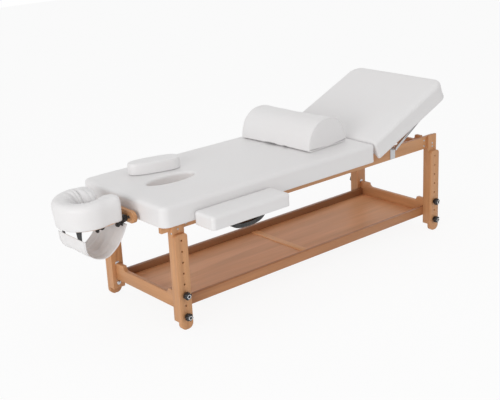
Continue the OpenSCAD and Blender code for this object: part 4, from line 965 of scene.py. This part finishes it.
def joined(name, pieces):
    shape = bmesh.new()
    for piece in pieces:
        shape.from_mesh(piece.data)
    mesh = bpy.data.meshes.new(name)
    shape.to_mesh(mesh)
    shape.free()
    mesh.shade_smooth()
    for piece in pieces:
        old = piece.data
        bpy.data.objects.remove(piece)
        bpy.data.meshes.remove(old)
    whole = linkPiece(name, mesh)
    sharpen(whole, sharpAngles["lever"])
    return whole


leverParts = dict(hubRibs=dict(ribs=22, ribDepth=0.0009), endRibs=dict(ribs=18, ribDepth=0.0007), endBack=0.001,
                  endFront=0.0002, capShare=0.38, capIn=0.001, capOut=0.0026, neckSides=20, neckFlat=0.8)
levers = dict(
    arm_lever=dict(node="arm_lock_lever", hub=(-0.058, 0.566), end=(-0.0935, 0.5430), y=-0.100, t=0.012,
                   hubRadius=0.0188, endRadius=0.0105, neck=0.0055),
    platform_lever=dict(node="platform_lock_lever", hub=(-0.160, 0.540), end=(-0.1860, 0.5271), y=-0.0656,
                        t=0.012, hubRadius=0.013, endRadius=0.0075, neck=0.0045))


def makeLever(name, s, p):
    (hx, hz), (ex, ez) = s["hub"], s["end"]
    front, back, radius = s["y"] - s["t"], s["y"], s["hubRadius"]
    middle = (front + back) / 2
    hub = disc(name + "Hub", (hx, 0, hz), radius, back, front, **p["hubRibs"])
    end = disc(name + "End", (ex, 0, ez), s["endRadius"], back - p["endBack"], front + p["endFront"],
               **p["endRibs"])
    neck = tube(name + "Neck", fromTable([(hx, middle, hz), (ex, middle, ez)]), s["neck"], p["neckSides"],
                False, p["neckFlat"])
    cap = disc(name + "Cap", (hx, 0, hz), radius * p["capShare"], front + p["capIn"], front - p["capOut"], 32)
    return joined(name + "Lever", [hub, end, neck, cap])


for body, lever in levers.items():
    finishPiece(makeLever(body, lever, leverParts), body, "plastic", [lever["node"]])


# Knob of a leg clamp: six soft lobes round a bright ring nut
knob = dict(ends=(("head", 0.112), ("foot", 1.967)), sides=(("near", -1), ("far", 1)), out=0.3253,
            levels=(("upper", 0.180), ("lower", 0.068)), turn=28, radius=0.0200, neck=0.0140, neckLength=0.006,
            depth=0.027, nutRadius=0.0118, nutOut=0.0040, lobes=6, valley=0.0042, around=96, nutAround=72,
            ease=0.0042, neckEase=0.0012, gripGap=0.0005, nutSharp=28,
            faceSteps=((0.0138, 0.0002), (0.0126, 0.0014), (0.010, 0.0016), (0.002, 0.0016)), nutIn=0.0020,
            nutSteps=((1, 0.0012, 1), (0.94, 0.0003, 0.35), (0.88, 0, 0), (0.68, 0, 0), (0.62, 0.0005, 0),
                      (0.60, 0.0014, 0)))


def knobRings(s, turn):
    angles = fullTurn(s["around"])
    lobe = (0.5 - 0.5 * np.cos(s["lobes"] * angles + turn)) ** 1.5
    e, depth, neck = s["ease"], s["depth"], s["neckLength"]
    rings = [roundRing(angles, s["neck"] * r, y)
             for r, y in ((0.2, 0), (0.7, 0), (1, 0), (1, neck - s["neckEase"]), (1.04, neck))]
    steps = [(e * 0.55 * (1 - math.sin(a)), neck + s["gripGap"] + e * 0.5 * (1 - math.cos(a)))
             for a in np.linspace(0, quarter, 5)]
    steps += [(e * (1 - math.cos(a)), depth - e + e * math.sin(a)) for a in np.linspace(0, quarter, 7)]
    rings += [roundRing(angles, s["radius"] - s["valley"] * lobe - inset, y) for inset, y in steps]
    return np.array(rings + [roundRing(angles, r, depth - dip) for r, dip in s["faceSteps"]])


# The ring nut has a hexagon base and a round rim
def nutRings(s):
    angles = fullTurn(s["nutAround"])
    hexagon = math.cos(math.pi / 6) / np.cos((angles % (math.pi / 3)) - math.pi / 6)
    base, out = s["depth"] - s["nutIn"], s["depth"] + s["nutOut"]
    steps = [(r, out - dip, six) for r, dip, six in s["nutSteps"]]
    steps = [(1, base, 1)] + steps + [(steps[-1][0], base, 0)]
    return np.array([roundRing(angles, s["nutRadius"] * r * (1 + (hexagon - 1) * six), y)
                     for r, y, six in steps])


def makeKnobs(s):
    for (end, x), (side, sign), (level, z) in itertools.product(s["ends"], s["sides"], s["levels"]):
        node, name = f"knob_{end}_{side}_{level}", f"{end}{side.title()}{level.title()}"
        place = np.array(onTable(x, sign * s["out"], z))
        grip = loft(name + "Grip", knobRings(s, s["turn"] * z) * (1, sign, 1) + place)
        nut = loft(name + "Nut", nutRings(s) * (1, sign, 1) + place, wrap=True)
        sharpen(nut, s["nutSharp"])
        finishPiece(grip, bodyOf[node], "plastic", [node])
        finishPiece(nut, bodyOf[node], "chrome")


makeKnobs(knob)
print("stage: levers and knobs")


# Bow under the arm rest: a broad black strip bent into a handle
bow = dict(middle=(0.424, -0.436), half=0.104, low=0.491, high=0.5400, width=0.030, thickness=0.0240,
           ease=0.003, steps=48, spanPower=0.8, dropPower=0.85, sharp=50)


def makeBow(s):
    (x, y), half, drop = s["middle"], s["half"], s["high"] - s["low"]
    line = [(x - half * float(power(math.cos(a), s["spanPower"])), y,
             s["high"] - drop * math.sin(a) ** s["dropPower"]) for a in np.linspace(0, math.pi, s["steps"])]
    side, loops = np.array([0, 1.0, 0]), []
    w, t, e = s["width"] / 2, s["thickness"] / 2, s["ease"]
    section = ((-w + e, -t), (-w, -t + e), (-w, t - e), (-w + e, t))
    section += tuple((-u, v) for u, v in section[::-1])
    for point, heading in zip(np.array(line), headings(line)):
        normal = np.cross(heading, side)
        loops.append([point + side * u + normal * v for u, v in section])
    piece = loft("bowStrip", fromTable(loops))
    sharpen(piece, s["sharp"])
    return piece


finishPiece(makeBow(bow), "armrest", "paint", ["armrest_bow"])


# Small repeated things: one tree sets copies of a template on points, each turned along its own aim
def makeCopyTree():
    tree = bpy.data.node_groups.new("placeCopies", "GeometryNodeTree")
    for name, kind in (("Points", "NodeSocketGeometry"), ("Template", "NodeSocketObject"),
                       ("Surface", "NodeSocketMaterial"), ("Size", "NodeSocketFloat")):
        tree.interface.new_socket(name=name, in_out="INPUT", socket_type=kind)
    tree.interface.new_socket(name="Copies", in_out="OUTPUT", socket_type="NodeSocketGeometry")
    named, align = "GeometryNodeInputNamedAttribute", "FunctionNodeAlignRotationToVector"
    given, out, aim, lay, first, second, info, place, real, paint = (tree.nodes.new(kind) for kind in (
        "NodeGroupInput", "NodeGroupOutput", named, named, align, align, "GeometryNodeObjectInfo",
        "GeometryNodeInstanceOnPoints", "GeometryNodeRealizeInstances", "GeometryNodeSetMaterial"))
    for node, key in ((aim, "aim"), (lay, "lay")):
        node.data_type = "FLOAT_VECTOR"
        node.inputs["Name"].default_value = key
    first.axis, second.axis, second.pivot_axis = "Z", "X", "Z"
    for source, result, target, entry in (
            (aim, "Attribute", first, "Vector"), (first, "Rotation", second, "Rotation"),
            (lay, "Attribute", second, "Vector"), (given, "Points", place, "Points"),
            (given, "Template", info, "Object"), (info, "Geometry", place, "Instance"),
            (second, "Rotation", place, "Rotation"), (given, "Size", place, "Scale"),
            (place, "Instances", real, "Geometry"), (real, "Geometry", paint, "Geometry"),
            (given, "Surface", paint, "Material"), (paint, "Geometry", out, "Copies")):
        tree.links.new(source.outputs[result], target.inputs[entry])
    return tree


copyTree = makeCopyTree()


def copies(name, template, material, places, size=1.0):
    mesh = bpy.data.meshes.new(name)
    mesh.from_pydata([tuple(onTable(*place[0])) for place in places], [], [])
    for key, at in (("aim", 1), ("lay", 2)):
        layer = mesh.attributes.new(key, "FLOAT_VECTOR", "POINT")
        layer.data.foreach_set("vector", [c for place in places for c in place[at]])
    piece = linkPiece(name, mesh)
    modifier = piece.modifiers.new("copies", "NODES")
    modifier.node_group = copyTree
    for socket in copyTree.interface.items_tree:
        value = dict(Template=template, Surface=materials[material], Size=size).get(socket.name)
        if value is not None and socket.in_out == "INPUT":
            modifier[socket.identifier] = value
    return settle(piece)


def lathe(name, profile, count=32):
    angles = fullTurn(count)
    piece = loft(name, [atHeight(np.stack([r * np.cos(angles), r * np.sin(angles)], 1), z) for r, z in profile])
    sharpen(piece, sharpAngles["lathe"])
    return piece


screwHead = lathe("screwHead", ((0.0003, -0.001), (0.0050, -0.001), (0.0050, 0.0002), (0.0047, 0.0009),
                                (0.0034, 0.0017), (0.0021, 0.0020), (0.0019, 0.0012), (0.0003, 0.0008)))
stitch = lathe("stitchTemplate", ((0.0001, 0), (0.0004, 0.0001), (0.00048, 0.0004), (0.0004, 0.0007),
                                  (0.0001, 0.0008)), 8)
stitchStretch = 4.2
for vertex in stitch.data.vertices:
    vertex.co.x *= stitchStretch
holeRim = lathe("socketRim", ((0.0061, -0.0004), (0.0090, -0.0004), (0.0092, 0.0004), (0.0088, 0.0011),
                              (0.0070, 0.0012), (0.0062, 0.0006)), 40)


# Screws at the beam ends, the post tops, the head face of the frame and under the upper crossbars
screwSpots = dict(beams=((0.169, 1.910), 0.2892, (0.52475, 0.55812), 0.3),
                  posts=((0.112, 1.967), 0.3030, (0.5141, 0.53398), -0.5),
                  headEnd=(0.0765, 0.296, 0.498), under=(0.060, 0.5062))
socketRims = dict(x=(0.265, 0.565), y=0.3500, z=0.571)


def screwPlaces(s):
    places, underX = [], s["beams"][0]
    for sign in (-1, 1):
        for alongX, y, upZ, slant in (s["beams"], s["posts"]):
            places += [((x, sign * y, z), (0, sign, 0), (1, 0, slant)) for x in alongX for z in upZ]
        x, y, z = s["headEnd"]
        places.append(((x, sign * y, z), (-1, 0, 0), (0, 1, 0.4)))
        y, z = s["under"]
        places += [((x, sign * y, z), (0, 0, -1), (1, 0, 0)) for x in underX]
    return places


def slingStitches(s):
    line = smoothLine(slingLine, s["stitches"])[0]
    places = []
    for k, (point, (dx, dz)) in enumerate(zip(line, headings(line))):
        half, fold = slingForm(s, k / (len(line) - 1))
        for y in (s["hemWidth"] - half, half - s["hemWidth"]):
            x, z = point + np.array((dz, -dx)) * (s["stitchRaise"] - fold(y / half))
            places.append(((x, y, z), (dz, 0, -dx), (dx, 0, dz)))
    return places


finishPiece(copies("screwHeads", screwHead, "steel", screwPlaces(screwSpots)), "frame",
            stands=["frame_screws"])
stitches = copies("slingStitches", stitch, "thread", slingStitches(sling))
hang(stitches)
rims = copies("socketRims", holeRim, "steel", [((x, socketRims["y"], socketRims["z"]), (0, 1, 0), (1, 0, 0))
                                               for x in socketRims["x"]])
finishPiece(rims, "frame")
for template in (screwHead, stitch, holeRim):
    bpy.data.objects.remove(template)
print("stage: screws and stitches")

# The board inside the arm rest, a little shorter than its CAD node so that the cover hides its ends
armBoard = dict(ease=0.0015, share=0.992)
armrestBoard = easedCopy("armrest_board", armBoard["ease"], easing)
for vertex in armrestBoard.data.vertices:
    vertex.co.x = armMiddle.x + (vertex.co.x - armMiddle.x) * armBoard["share"]
finishPiece(armrestBoard, "armrest", "deck", ["armrest_board"])

# Pieces that stay as the CAD has them and only take a finish
cadFinishes = dict(
    shelf_panels="shelf", deck_bearers="beam", main_deck="deck", main_rim="beam", socket_blocks="beam",
    back_deck="deck", back_rim="backRim", cradle_platform="platform", cradle_arms="aluminium",
) | dict.fromkeys(("leg_bolts", "prop_brackets", "back_hinge_main_leaves", "back_hinge_pins",
                   "back_hinge_panel_leaves", "prop_channels", "prop_near", "prop_far", "armrest_pins",
                   "cradle_dowels", "cradle_pivot_rod", "platform_pivot_rod"), "steel")
for node, material in cadFinishes.items():
    mesh = nodes[node].data
    mesh.materials.clear()
    mesh.materials.append(materials[material])
